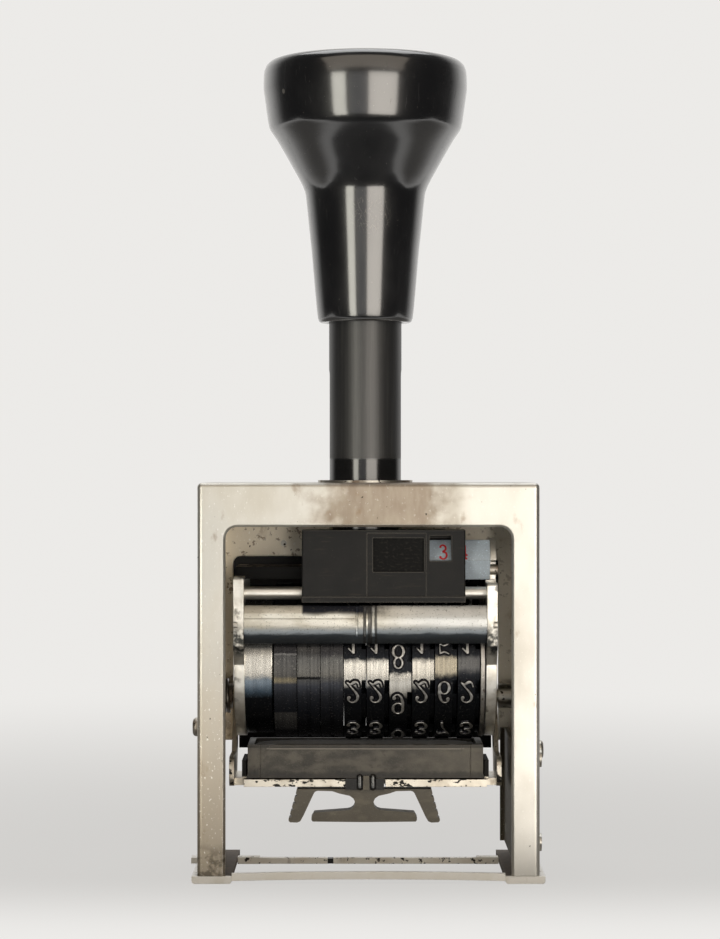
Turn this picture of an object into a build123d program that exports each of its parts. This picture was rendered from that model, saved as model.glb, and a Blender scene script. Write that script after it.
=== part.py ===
from build123d import *
from math import atan2, cos, degrees, hypot, radians, sin, sqrt
import os

# Self-inking numbering machine: a sheet-metal frame stands on two foot plates, and a knob on a hollow
# plunger pushes a carriage with six number wheels down through it, past an ink pad that swings away.
# Millimetres. +Z is up, the front faces -Y, and the origin is on the ground under the frame's centre.
# The wheels set the size of the works and of the frame round them, and works_x is the works' middle.

# ---- number wheels, repeat rings and pawls, from left to right ------------------------------------
hub_width = 5.8
ring_gap = 0.15
ring_width = 4.55
repeat_ring_count = 2
wheel_count = 6
type_width = 3.55
ratchet_width = 0.9
wheel_gap = 0.15
plate_gap = 0.2
pawl_plate_width = 0.8
cheek_gap = 0.3
axle_radius = 3.0
type_radius = 16.4
type_relief = 0.55
ratchet_relief = 1.5
ratchet_slot_width = 3.0
ratchet_slot_depth = 2.2
digits_per_wheel = 10
digit_offset = 18.0
wheel_phase = {2: 10.0}
ring_relief = 0.6
ring_groove = 0.35
hub_relief = 1.4
hub_edge_round = 0.4
pawl_rest_angle = 25.0
pawl_bar_clearance = 1.0
pawl_bar_side = 2.0
pawl_lobe_width = 5.0
pawl_lobe_margin = 0.4
pawl_lobe_round = 1.65
detent_angle = 46.0
detent_bar_clearance = 1.0
detent_bar_side = 2.2
finger_width = 0.5
finger_thickness = 0.5
finger_gap = 0.3

# ---- frame ---------------------------------------------------------------------------------------
frame_top = 80.2
sheet = 2.0
top_sheet = 2.2
side_room = 3.9
front_room = 0.4
rear_room = 2.6
post_width = 5.6
front_bar_height = 8.8
rear_bar_height = 15.8
rear_post_end = 25.2
frame_corner = 1.0
top_corner = 0.9
window_corner = 2.4
rear_window_corner = 1.5
rear_window_room = 0.6
window_bevel = 0.45

# ---- feet and guide bars -------------------------------------------------------------------------
foot_thickness = 1.5
foot_width = 8.0
foot_overhang = 1.1
foot_edge_round = 0.6
foot_tab_reach = 1.7
foot_tab_length = 4.0
foot_tab_y = 8.5
guide_bar_thickness = 1.2
guide_bar_height = 1.5
guide_bar_setback = 0.2
guide_bar_lift = 0.55
guide_bar_arch = 0.35
rear_guide_y = 7.6
rear_guide_depth = 1.6
rear_guide_height = 1.2
rear_guide_lift = 0.1
rear_guide_split = -7.9
rear_guide_gap = 1.2
rear_block_length = 4.6
rear_block_depth = 2.8
rear_block_extra = 0.15
rear_block_drop = 0.05

# ---- plunger and knob, with the knob's heights measured down from its top --------------------------
works_x = -0.6
press_travel = 27.0
tube_radius = 7.5
tube_wall = 2.0
bushing_wall = 1.5
bushing_drop = 6.0
bushing_flange_wall = 2.3
bushing_flange = 0.5
cross_pin_radius = 1.2
cross_pin_drop = 5.2
knob_top = 169.7
knob_crown_drop = 6.9
knob_shoulder_drop = 15.9
knob_shoulder_low_drop = 17.2
knob_neck_drop = 29.3
knob_clearance = 5.6
knob_roof = 20.7
knob_radius = 21.25
knob_side_radius = 20.0
knob_shoulder_radius = 19.2
knob_neck_radius = 12.5
knob_end_radius = 9.75
knob_dome_radius = 18.8
knob_dome_drop = 2.3
knob_edge_inset = 0.7
knob_edge_drop = 3.5
knob_cone_bow = 0.3
insert_radius = 5.0
insert_length = 9.0
plug_length = 8.0
plug_stud_radius = 2.5
plug_stud_length = 8.0
spring_wire = 0.55
spring_radius = 4.2
spring_turns = 10

# ---- carriage ------------------------------------------------------------------------------------
axle_drop = 36.7
cheek_thickness = 2.1
cheek_disc_relief = 0.8
cheek_rear_y = 13.5
cheek_rear_chamfer = 3.0
ear_setback = 0.2
ear_depth = 7.4
ear_root = 0.4
ear_corner = 0.5
left_ear_rise = 3.4
right_ear_rise = 2.2
bridge_headroom = 0.6
bridge_thickness = 2.5
bridge_front_gap = 2.7
bridge_back = 9.0
bridge_screw_inset = 3.0
collar_wall = 2.0
collar_height = 3.0
bar_wheel_gap = 0.55
bar_depth = 2.65
bar_height = 7.7
bar_top_setback = 1.0
bar_crown_drop = 2.9
bar_foot_step = 0.5
bar_foot_chamfer = 0.6
bar_step_height = 2.6
bar_step = 0.25
bar_notch_left = -1.9
bar_notch_depth = 0.8
bar_notch_grooves = [(0.0, 0.4), (1.6, 2.0), (3.0, 3.8)]
selector_rod_radius = 1.3
rod_end_wall = 0.4

# ---- repeat selector: heights above the slider's foot, depths behind its front ---------------------
scale_pitch = 4.1
stop_gap = 0.2
slider_length = 32.9
slider_setback = 2.1
slider_depth = 7.6
slider_height = 14.5
slider_foot_depth = 6.6
slider_wheel_gap = 0.34
slider_bar_gap = 0.6
slider_lip = 0.6
slider_lip_height = 1.1
slider_round = 0.5
rod_depth = 4.3
rod_rise = 1.7
scale_depth = 2.1
scale_crest_depth = 5.1
scale_back_depth = 6.5
scale_rise = 8.4
scale_half_height = 4.0
scale_length = 23.7
bracket_thickness = 1.3
bracket_rise = 12.8
lug_depth = 9.1
lug_inset = 1.0
lug_step = 0.5
scale_pin_radius = 1.05
scale_pin_rise = 6.4
scale_pin_depth = 5.0
scale_pin_reach = 1.7
scale_pin_root = 3.0
panel_offset = 13.1
panel_width = 11.9
panel_depth = 0.25
panel_margin = 0.6
label_left_margin = 1.2
label_right_margin = 0.4
label_rise = 6.1
label_height = 6.8
label_depth = 1.1
reading_offset = 25.7
reading_width = 4.4
reading_rise = 8.3
reading_height = 5.1
channel_gap = 0.45
ball_radius = 1.0
ball_offset = 4.4
click_pocket_height = 6.0
click_spring_wire = 0.18
click_spring_turns = 4
click_spring_seat = 0.8

# ---- pad tray, cassette and grip -----------------------------------------------------------------
pivot_y = 13.0
pivot_drop = 8.5
pivot_radius = 1.5
pivot_head_radius = 2.6
pivot_head = 0.9
pivot_slot_half = 0.3
spacer_radius = 2.6
pad_spring_wire = 0.35
pad_spring_gap = 0.42
pad_spring_turns = 3
arm_gap = 0.3
arm_thickness = 1.0
arm_end_radius = 3.4
arm_width = 5.6
tray_front = -9.3
tray_back = 6.6
tray_lip = 0.8
tray_floor = 1.5
tray_side_height = 6.0
tray_corner = 2.0
tray_front_extra = 0.8
tray_setback = 3.0
tray_slot_half = 4.1
tray_slot_depth = 5.4
rail_gap = 0.4
rail_thickness = 0.9
rail_height = 3.6
slide_gap = 0.35
cassette_side_room = 2.8
cassette_front = -9.5
cassette_back = 6.2
cassette_height = 6.75
cassette_wall = 1.3
cassette_front_wall = 1.8
cassette_floor = 1.2
cassette_ridge = 0.35
cassette_ridge_height = 0.8
cassette_ridge_drop = 0.2
cassette_ridge_inset = 4.4
cassette_seam = 0.3
cassette_seam_inset = 2.6
pad_clearance = 0.4
pad_below_rim = 0.1
pad_gap = 0.15
grip_top_gap = 0.3
grip_height = 7.0
grip_depth = 4.2
grip_bar_half = 13.8
grip_bar_thickness = 0.6
grip_tip_inner = 12.9
grip_tip_outer = 15.3
grip_tip_chamfer = 0.6
grip_tip_slant = 0.2
grip_leg_root = 9.8
grip_stem_half = 1.95
grip_t_half = 10.8
grip_t_height = 2.4
grip_t_slope = 0.5
grip_neck_half = 2.4
grip_neck_setback = 0.8
grip_blend = 1.1

# ---- covers, studs and fasteners -----------------------------------------------------------------
cover_thickness = 1.0
cover_reach = 1.2
cover_height = 20.0
cover_overlap = 5.6
cover_corner = 3.0
cover_slit_inset = 7.9
cover_slit_width = 5.8
cover_slit_height = 0.45
cover_slit_drop = 9.9
cover_screw_inset = 11.9
guide_plate_room = 1.8
guide_plate_thickness = 1.0
guide_plate_low = 4.0
guide_plate_high = 28.0
guide_plate_margin = 1.0
guide_plate_flange = 0.9
guide_rivet_inset = 3.5
guide_rivet_radius = 1.0
guide_rivet_shoulder = 2.0
guide_rivet_head = 1.8
guide_rivet_head_height = 0.7
stop_stud_radius = 1.2
stop_head_radius = 2.0
stop_head = 2.8
stop_head_round = 0.8
stop_left_drop = 6.6
stop_right_drop = 11.4
stop_inset = 2.0
stop_y = 12.5
foot_screw_y = 14.0
small_screw_radius = 0.6
small_head_radius = 1.2
small_head = 0.6
small_screw_length = 3.5
small_hole_extra = 0.2
end_screw_radius = 1.5
end_head_radius = 3.6
end_head = 1.0
end_screw_length = 7.0
side_screw_radius = 0.9
side_head_radius = 1.2
side_head = 0.8
side_screw_length = 6.0
running_gap = 0.05
slide_fit = 0.10
slot_gap = 0.2
overcut = 1.0

# ---- across the machine: the stack on the axle, the cheeks round it, the arms and the frame --------
wheel_pitch = type_width + ratchet_width + wheel_gap
ring_pitch = ring_width + ring_gap
stack_width = (hub_width + (1 + repeat_ring_count) * ring_pitch + wheel_count * wheel_pitch
               + ring_gap - wheel_gap + plate_gap + pawl_plate_width + cheek_gap)
cheek_inner = stack_width / 2
cheek_outer = cheek_inner + cheek_thickness
hub_end = hub_width - cheek_inner
pawl_ring_left = hub_end + ring_gap
pawl_ring_right = pawl_ring_left + ring_width
wheel_first = pawl_ring_right + repeat_ring_count * ring_pitch + ring_gap
pawl_plate_right = cheek_inner - cheek_gap
pawl_plate_left = pawl_plate_right - pawl_plate_width
arm_inner = cheek_outer + arm_gap
arm_outer = arm_inner + arm_thickness
wall_inner = arm_outer + abs(works_x) + side_room
half_width = wall_inner + sheet
window_half = half_width - post_width
foot_outer = half_width + foot_overhang
foot_inner = foot_outer - foot_width
guide_plate_inner = works_x + arm_outer + guide_plate_room
rear_window_right = works_x + arm_outer + rear_window_room
cover_half = window_half + cover_reach
cassette_half = arm_inner - cassette_side_room
bracket_inner = cheek_outer - bracket_thickness
scale_left = bracket_inner - scale_length
slider_right = cheek_inner - stop_gap - scale_pitch
slider_left = slider_right - slider_length
panel_left = slider_left + panel_offset
panel_right = panel_left + panel_width
reading_left = slider_left + reading_offset
ball_x = slider_left + ball_offset

# ---- radii round the axle --------------------------------------------------------------------------
wheel_body_radius = type_radius - type_relief
ratchet_radius = type_radius - ratchet_relief
ring_radius = type_radius - ring_relief
hub_radius = type_radius - hub_relief
cheek_disc_radius = type_radius - cheek_disc_relief
pawl_bar_radius = type_radius + pawl_bar_clearance + pawl_bar_side / 2
detent_bar_radius = type_radius + detent_bar_clearance + detent_bar_side / 2
tube_bore = tube_radius - tube_wall
bushing_radius = tube_radius + bushing_wall
bushing_flange_radius = tube_radius + bushing_flange_wall
collar_radius = tube_radius + collar_wall

# ---- front to back -----------------------------------------------------------------------------------
bar_back = -type_radius - bar_wheel_gap
bar_front = bar_back - bar_depth
frame_front = bar_front - front_room
frame_back = type_radius + rear_room
ear_front = bar_front + ear_setback
ear_back = ear_front + ear_depth
slider_front = bar_front + slider_setback
slider_back = slider_front + slider_depth
slider_foot_back = slider_front + slider_foot_depth
selector_rod_y = slider_front + rod_depth
scale_front = slider_front + scale_depth
scale_crest_y = slider_front + scale_crest_depth
scale_back = slider_front + scale_back_depth
scale_pin_y = slider_front + scale_pin_depth
lug_back = slider_front + lug_depth
bridge_front = slider_back + bridge_front_gap
guide_plate_front = frame_front + sheet + guide_plate_margin
guide_plate_back = frame_back - sheet - guide_plate_margin

# ---- heights -----------------------------------------------------------------------------------------
top_sheet_bottom = frame_top - top_sheet
front_window_top = frame_top - front_bar_height
rear_window_top = frame_top - rear_bar_height
cover_top = rear_window_top + cover_overlap
cover_bottom = cover_top - cover_height
cover_slit_z = cover_top - cover_slit_drop
cover_screw_z = (cover_top + rear_window_top) / 2
bushing_bottom = top_sheet_bottom - bushing_drop
cross_pin_z = frame_top - cross_pin_drop
knob_bottom = frame_top + bushing_flange + press_travel + knob_clearance
knob_crown = knob_top - knob_crown_drop
knob_shoulder = knob_top - knob_shoulder_drop
knob_shoulder_low = knob_top - knob_shoulder_low_drop
knob_neck_top = knob_top - knob_neck_drop
tube_end_z = knob_top - knob_roof
spring_low = cross_pin_z + cross_pin_radius
spring_high = tube_end_z - plug_length
axle_z = frame_top - axle_drop
bridge_bottom = axle_z + type_radius + bridge_headroom
bridge_top = bridge_bottom + bridge_thickness
slider_bottom = axle_z + sqrt((type_radius + slider_wheel_gap) ** 2 - slider_foot_back ** 2)
slider_top = slider_bottom + slider_height
selector_rod_z = slider_bottom + rod_rise
scale_edge_z = slider_bottom + scale_rise
bracket_top = slider_bottom + bracket_rise
scale_pin_z = slider_bottom + scale_pin_rise
label_bottom = slider_bottom + label_rise
reading_bottom = slider_bottom + reading_rise
ball_z = selector_rod_z + selector_rod_radius + ball_radius + running_gap
left_ear_top = selector_rod_z + left_ear_rise
right_ear_top = selector_rod_z + right_ear_rise
bar_top = slider_bottom - slider_bar_gap
bar_bottom = bar_top - bar_height
bar_step_z = bar_top - bar_step_height
ear_low = bar_bottom - ear_root
pad_top = axle_z - type_radius - pad_clearance
cassette_top = pad_top + pad_below_rim
cassette_bottom = cassette_top - cassette_height
tray_floor_top = cassette_bottom - slide_gap
tray_bottom = tray_floor_top - tray_floor
pivot_z = axle_z - pivot_drop
stop_left_z = pivot_z - stop_left_drop
stop_right_z = pivot_z - stop_right_drop
grip_top = tray_bottom - grip_top_gap
grip_front = tray_front
grip_tip_z = grip_top - grip_height


def block(x0, x1, y0, y1, z0, z1):
    """A box between two corners."""
    centre = ((x0 + x1) / 2, (y0 + y1) / 2, (z0 + z1) / 2)
    return Pos(*centre) * Box(abs(x1 - x0), abs(y1 - y0), abs(z1 - z0))


def rod_x(radius, x0, x1, y, z):
    """A round bar along X."""
    return Pos((x0 + x1) / 2, y, z) * Rot(0, 90, 0) * Cylinder(radius, abs(x1 - x0))


def rod_y(radius, y0, y1, x, z):
    """A round bar along Y."""
    return Pos(x, (y0 + y1) / 2, z) * Rot(90, 0, 0) * Cylinder(radius, abs(y1 - y0))


def rod_z(radius, z0, z1, x=0.0, y=0.0):
    """A round bar along Z."""
    return Pos(x, y, (z0 + z1) / 2) * Cylinder(radius, abs(z1 - z0))


def plate_x(outline, x0, x1):
    """A flat outline in Y and Z, as thick as x0 to x1."""
    return extrude(Plane.YZ.offset(x0) * outline, amount=x1 - x0)


def plate_y(outline, y0, y1):
    """A flat outline in X and Z, as thick as y0 to y1."""
    return extrude(Plane.XZ.offset(-y1) * outline, amount=y1 - y0)


def outline(*points):
    """A straight-sided outline through the points, which may run either way round."""
    pairs = zip(points, points[1:] + points[:1])
    twice_area = sum(a[0] * b[1] - b[0] * a[1] for a, b in pairs)
    return Polygon(*(points if twice_area > 0 else points[::-1]), align=None)


def group(parts):
    """Separate solids that share one node."""
    return Compound([solid for part in parts for solid in part.solids()])


def works(part):
    """Moves a piece of the inner works to its place beside the frame's centre plane."""
    return Pos(works_x, 0, 0) * part


def at_wheel_angle(part, angle, radius):
    """Places a piece drawn at the origin beside the axle: radius outwards, angle above the rear."""
    y = radius * cos(radians(angle))
    z = axle_z + radius * sin(radians(angle))
    return Pos(0, y, z) * Rot(angle, 0, 0) * part


def ring_x(radius, x0, x1):
    """A disc on the wheel axle with its running bore."""
    bore = axle_radius + running_gap
    return rod_x(radius, x0, x1, 0, axle_z) - rod_x(bore, x0 - overcut, x1 + overcut, 0, axle_z)


def countersunk_y(x, z, face_y, length):
    """A flush countersunk screw that goes in from the back face."""
    head = Pos(x, face_y - small_head / 2, z) * Rot(90, 0, 0)
    head = head * Cone(small_head_radius, small_screw_radius, small_head)
    return head + rod_y(small_screw_radius, face_y - length, face_y - small_head, x, z)


def countersunk_z(x, y, face_z, length):
    """A flush countersunk screw that goes in from below."""
    head = Pos(x, y, face_z + small_head / 2) * Cone(small_head_radius, small_screw_radius, small_head)
    return head + rod_z(small_screw_radius, face_z + small_head, face_z + length, x, y)


# ---- frame and what is fixed to it ---------------------------------------------------------------
def side_holes():
    """The holes in the frame's side walls: pad pivots, stop studs and guide plate rivets."""
    near = wall_inner - overcut
    far = half_width + overcut
    holes = rod_x(pivot_radius, -far, far, pivot_y, pivot_z)
    holes += rod_x(stop_stud_radius, -far, -near, stop_y, stop_left_z)
    holes += rod_x(stop_stud_radius, near, far, stop_y, stop_right_z)
    for y, z in guide_rivet_places():
        holes += rod_x(guide_rivet_radius, near, far, y, z)
    return holes


def make_frame():
    shell = block(-half_width, half_width, frame_front, frame_back, foot_thickness, frame_top)
    shell = fillet(shell.edges().filter_by(Axis.Z), frame_corner)
    shell = fillet(shell.edges().filter_by(Axis.Y).group_by(Axis.Z)[-1], top_corner)
    shell -= block(-wall_inner, wall_inner, frame_front + sheet, frame_back - sheet, 0, top_sheet_bottom)
    shell -= front_window()
    shell -= rear_window()
    reach = half_width + overcut
    inside = frame_back - sheet - overcut
    outside = frame_back + overcut
    shell -= block(-wall_inner, wall_inner, inside, outside, 0, rear_post_end)
    shell -= block(-reach, reach, frame_back - frame_corner, outside, 0, rear_post_end)
    shell -= rod_z(bushing_radius, bushing_bottom, frame_top + overcut, works_x)
    shell -= side_holes()
    for x in cover_screw_places():
        shell -= rod_y(small_screw_radius, inside, outside, x, cover_screw_z)
    for x, y in foot_screw_places():
        shell -= rod_z(small_screw_radius, 0, small_screw_length + small_hole_extra, x, y)
    return shell


def front_window():
    """The opening in the front, open at the ground, with a bevelled edge."""
    low = foot_thickness - overcut
    hole = Pos(0, (front_window_top + low) / 2) * Rectangle(2 * window_half, front_window_top - low)
    hole = fillet(hole.vertices().group_by(Axis.Y)[-1], window_corner)
    cut = plate_y(hole, frame_front - overcut, frame_front + sheet + overcut)
    rim = offset(hole, amount=window_bevel)
    bevel = loft([Plane.XZ.offset(-frame_front) * rim, Plane.XZ.offset(-frame_front - window_bevel) * hole])
    return cut + bevel


def rear_window():
    """The opening in the back that the pad tray swings out through."""
    low = rear_post_end - overcut
    middle = Pos((rear_window_right - window_half) / 2, (rear_window_top + low) / 2)
    hole = middle * Rectangle(rear_window_right + window_half, rear_window_top - low)
    hole = fillet(hole.vertices().group_by(Axis.Y)[-1], rear_window_corner)
    return plate_y(hole, frame_back - sheet - overcut, frame_back + overcut)


def foot_screw_places():
    middle = half_width - sheet / 2
    return [(x, y) for x in (-middle, middle) for y in (-foot_screw_y, foot_screw_y)]


def cover_screw_places():
    return cover_screw_inset - cover_half, cover_half - cover_screw_inset


def make_foot(side):
    """A foot plate under one side wall; the left one has a small tab that sticks out."""
    foot = block(side * foot_inner, side * foot_outer, frame_front, frame_back, 0, foot_thickness)
    foot = fillet(foot.edges().filter_by(Axis.Y).group_by(Axis.Z)[0], foot_edge_round)
    if side < 0:
        tab = block(-foot_outer - foot_tab_reach, -foot_outer + foot_edge_round,
                    foot_tab_y - foot_tab_length / 2, foot_tab_y + foot_tab_length / 2,
                    foot_edge_round / 2, foot_thickness)
        foot += tab
    for x, y in foot_screw_places():
        if x * side > 0:
            foot -= countersunk_z(x, y, 0, small_screw_length)
    return foot


def make_foot_screws():
    screws = [countersunk_z(x, y, 0, small_screw_length) for x, y in foot_screw_places()]
    return group(screws)


def make_front_guide_bar():
    """The thin bar across the front, a little arched so that its middle clears the paper."""
    low = guide_bar_lift
    high = low + guide_bar_height
    arch = ThreePointArc((-foot_inner, low), (0, low + guide_bar_arch), (foot_inner, low))
    top = ThreePointArc((foot_inner, high), (0, high + guide_bar_arch), (-foot_inner, high))
    ends = [Line((foot_inner, low), (foot_inner, high)), Line((-foot_inner, high), (-foot_inner, low))]
    front = frame_front + guide_bar_setback
    return plate_y(make_face(Curve() + [arch, ends[0], top, ends[1]]), front, front + guide_bar_thickness)


def make_rear_guide_bars():
    """Two low bars behind the wheels, each fixed to the inner edge of its foot by a block."""
    bars = []
    low = rear_guide_lift
    high = low + rear_guide_height
    inner = {-1: rear_guide_split - rear_guide_gap / 2, 1: rear_guide_split + rear_guide_gap / 2}
    for side in (-1, 1):
        end = side * foot_inner
        bar = block(end, inner[side], rear_guide_y, rear_guide_y + rear_guide_depth, low, high)
        bar += block(end, end - side * rear_block_length, rear_guide_y,
                     rear_guide_y + rear_block_depth, low - rear_block_drop, high + rear_block_extra)
        bars.append(bar)
    return group(bars)


def make_rear_cover():
    plate = Pos(0, (cover_top + cover_bottom) / 2) * Rectangle(2 * cover_half, cover_height)
    plate = fillet(plate.vertices(), cover_corner)
    slit_x = cover_slit_inset - cover_half + cover_slit_width / 2
    plate -= Pos(slit_x, cover_slit_z) * Rectangle(cover_slit_width, cover_slit_height)
    return plate_y(plate, frame_back, frame_back + cover_thickness) - make_rear_cover_screws()


def make_rear_cover_screws():
    face = frame_back + cover_thickness
    length = sheet + cover_thickness
    return group([countersunk_y(x, cover_screw_z, face, length) for x in cover_screw_places()])


def guide_rivet_places():
    """Where the right-hand guide plate is riveted to the side wall, as (y, z)."""
    low = guide_plate_low + guide_rivet_inset
    high = guide_plate_high - guide_rivet_inset
    front = guide_plate_front + guide_rivet_inset
    return [(front, low), (front, high), (guide_plate_back - 2 * guide_rivet_inset, low)]


def make_pad_guide_plate():
    """The upright plate beside the right-hand tray arm, with a narrow flange at its rear edge."""
    outer = guide_plate_inner + guide_plate_thickness
    plate = block(guide_plate_inner, outer, guide_plate_front, guide_plate_back,
                  guide_plate_low, guide_plate_high)
    plate += block(guide_plate_inner - guide_plate_flange, outer,
                   guide_plate_back - guide_plate_thickness, guide_plate_back,
                   guide_plate_low, guide_plate_high)
    for y, z in guide_rivet_places():
        plate -= rod_x(guide_rivet_radius, guide_plate_inner - overcut, outer + overcut, y, z)
    return plate


def make_guide_plate_rivets():
    rivets = []
    outer = guide_plate_inner + guide_plate_thickness
    for y, z in guide_rivet_places():
        rivet = rod_x(guide_rivet_radius, guide_plate_inner, half_width, y, z)
        rivet += rod_x(guide_rivet_shoulder, outer, wall_inner, y, z)
        rivet += rod_x(guide_rivet_head, half_width, half_width + guide_rivet_head_height, y, z)
        rivets.append(rivet)
    return group(rivets)


def make_swing_stop_studs():
    """A stud in each side wall, with a tall round head outside."""
    studs = []
    for side, z in ((-1, stop_left_z), (1, stop_right_z)):
        stud = rod_x(stop_stud_radius, side * (wall_inner - stop_inset), side * half_width, stop_y, z)
        head = rod_x(stop_head_radius, side * half_width, side * (half_width + stop_head), stop_y, z)
        rim = head.edges().sort_by(Axis.X)[0 if side < 0 else -1]
        studs.append(stud + fillet(rim, stop_head_round))
    return group(studs)


def make_stem_bushing():
    """The guide bush of the plunger, flanged above the frame and bored across for the spring pin."""
    bush = rod_z(bushing_radius, bushing_bottom, frame_top)
    bush += rod_z(bushing_flange_radius, frame_top, frame_top + bushing_flange)
    bush -= rod_z(tube_radius + slide_fit, bushing_bottom - overcut, frame_top + bushing_flange + overcut)
    bush -= rod_x(cross_pin_radius, -bushing_radius - overcut, bushing_radius + overcut, 0, cross_pin_z)
    return works(bush)


def make_spring_cross_pin():
    return works(rod_x(cross_pin_radius, -bushing_radius, bushing_radius, 0, cross_pin_z))


def pivot_side(side):
    """Where one tray arm lies: its inner and outer faces along X."""
    return works_x + side * arm_inner, works_x + side * arm_outer


def make_pad_pivot_screws():
    screws = []
    for side in (-1, 1):
        tip, _ = pivot_side(side)
        face = side * half_width
        screw = rod_x(pivot_radius, tip, face, pivot_y, pivot_z)
        head = rod_x(pivot_head_radius, face, face + side * pivot_head, pivot_y, pivot_z)
        head -= block(face + side * pivot_head / 2, face + side * (pivot_head + overcut),
                      pivot_y - pivot_head_radius - overcut, pivot_y + pivot_head_radius + overcut,
                      pivot_z - pivot_slot_half, pivot_z + pivot_slot_half)
        screws.append(screw + head)
    return group(screws)


def make_pad_pivot_spacers():
    spacers = []
    for side in (-1, 1):
        _, face = pivot_side(side)
        x0 = face + side * arm_gap
        spacer = rod_x(spacer_radius, x0, side * wall_inner, pivot_y, pivot_z)
        spacers.append(spacer - rod_x(pivot_radius, x0 - side, side * half_width, pivot_y, pivot_z))
    return group(spacers)


def coil(radius, wire, low, high, turns):
    """A helical spring along Z, with its wire inside low and high."""
    rise = high - low - 2 * wire
    path = Helix(pitch=rise / turns, height=rise, radius=radius)
    start = Plane(origin=path @ 0, z_dir=path % 0)
    return Pos(0, 0, low + wire) * sweep(start * Circle(wire), path=path, is_frenet=True)


def make_pad_return_spring():
    """The coiled spring on the left-hand pivot spacer."""
    _, face = pivot_side(-1)
    length = face + wall_inner - arm_gap - pad_spring_wire
    radius = spacer_radius + pad_spring_gap + pad_spring_wire
    spring = coil(radius, pad_spring_wire, 0, length, pad_spring_turns)
    return Pos(-wall_inner, pivot_y, pivot_z) * Rot(0, 90, 0) * spring


# ---- plunger and knob ----------------------------------------------------------------------------
def make_knob():
    """The turned knob: domed crown, short cylindrical side, hollow cone and long tapered neck."""
    rim = (knob_dome_radius, knob_top - knob_dome_drop)
    crown = (knob_radius, knob_crown)
    shoulder = (knob_side_radius, knob_shoulder)
    shoulder_low = (knob_shoulder_radius, knob_shoulder_low)
    neck = (knob_neck_radius, knob_neck_top)
    end = (knob_end_radius, knob_bottom)
    dome_middle = (knob_dome_radius / 2, knob_top - knob_dome_drop / 3)
    edge_middle = (knob_radius - knob_edge_inset, knob_top - knob_edge_drop)
    cone_middle = ((knob_shoulder_radius + knob_neck_radius) / 2 - knob_cone_bow,
                   (knob_shoulder_low + knob_neck_top) / 2)
    lines = [ThreePointArc((0, knob_top), dome_middle, rim), ThreePointArc(rim, edge_middle, crown),
             Line(crown, shoulder), Line(shoulder, shoulder_low),
             ThreePointArc(shoulder_low, cone_middle, neck),
             Line(neck, end), Line(end, (0, knob_bottom)), Line((0, knob_bottom), (0, knob_top))]
    knob = revolve(Plane.XZ * make_face(Curve() + lines), Axis.Z)
    knob -= rod_z(tube_radius, knob_bottom - overcut, tube_end_z)
    knob -= rod_z(insert_radius, tube_end_z - overcut, tube_end_z + insert_length)
    return works(knob)


def make_knob_insert():
    insert = rod_z(insert_radius, tube_end_z, tube_end_z + insert_length)
    insert -= rod_z(plug_stud_radius, tube_end_z - overcut, tube_end_z + plug_stud_length)
    return works(insert)


def make_plunger_tube():
    """The hollow stem, slotted on both sides so that it can pass the fixed spring pin."""
    tube = rod_z(tube_radius, bridge_bottom, tube_end_z)
    tube -= rod_z(tube_bore, bridge_bottom - overcut, tube_end_z + overcut)
    half = cross_pin_radius + slot_gap
    low = cross_pin_z
    high = cross_pin_z + press_travel + slot_gap
    reach = tube_radius + overcut
    slot = block(-reach, reach, -half, half, low, high)
    for z in (low, high):
        slot += rod_x(half, -reach, reach, 0, z)
    return works(tube - slot)


def make_tube_plug():
    plug = rod_z(tube_bore, spring_high, tube_end_z)
    return works(plug + rod_z(plug_stud_radius, tube_end_z, tube_end_z + plug_stud_length))


def make_tube_collar():
    top = bridge_top + collar_height
    collar = rod_z(collar_radius, bridge_top, top)
    return works(collar - rod_z(tube_radius, bridge_top - overcut, top + overcut))


def make_return_spring():
    return works(coil(spring_radius, spring_wire, spring_low, spring_high, spring_turns))


# ---- carriage ------------------------------------------------------------------------------------
def bridge_screw_places():
    middle = cheek_inner + cheek_thickness / 2
    rows = (bridge_front + bridge_screw_inset, bridge_back - bridge_screw_inset)
    return [(x, y) for x in (-middle, middle) for y in rows]


def bridge_screw(x, y):
    """A vertical screw from the bridge's top into a cheek."""
    screw = countersunk_z(x, y, 0, small_screw_length + bridge_thickness)
    return Pos(0, 0, bridge_top) * Rot(180, 0, 0) * Pos(0, -2 * y, 0) * screw


def make_carriage_bridge():
    """The plate that sits on both cheeks above the wheels, with a round boss for the plunger."""
    bridge = block(-cheek_outer, cheek_outer, bridge_front, bridge_back, bridge_bottom, bridge_top)
    bridge += rod_z(collar_radius, bridge_bottom, bridge_top)
    bridge -= rod_z(tube_radius, bridge_bottom - overcut, bridge_top + overcut)
    for x, y in bridge_screw_places():
        bridge -= bridge_screw(x, y)
    return works(bridge)


def make_bridge_screws():
    return works(group([bridge_screw(x, y) for x, y in bridge_screw_places()]))


def cheek_outline(ear_top):
    """One cheek: a disc round the axle, a front ear and a flat top that carries the bridge."""
    rear_top = bridge_bottom - cheek_rear_chamfer
    body = outline((ear_front, ear_low), (ear_front, ear_top - ear_corner),
                   (ear_front + ear_corner, ear_top), (ear_back, ear_top), (ear_back, bridge_bottom),
                   (cheek_rear_y - cheek_rear_chamfer, bridge_bottom),
                   (cheek_rear_y, rear_top), (cheek_rear_y, axle_z), (-cheek_disc_radius, axle_z))
    return body + Pos(0, axle_z) * Circle(cheek_disc_radius)


def end_screw(side):
    """The screw that holds one cheek to the end of the axle, with its head let into the cheek."""
    head = rod_x(end_head_radius, side * (cheek_outer - end_head), side * cheek_outer, 0, axle_z)
    return head + rod_x(end_screw_radius, side * (cheek_outer - end_screw_length),
                        side * (cheek_outer - end_head), 0, axle_z)


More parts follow.
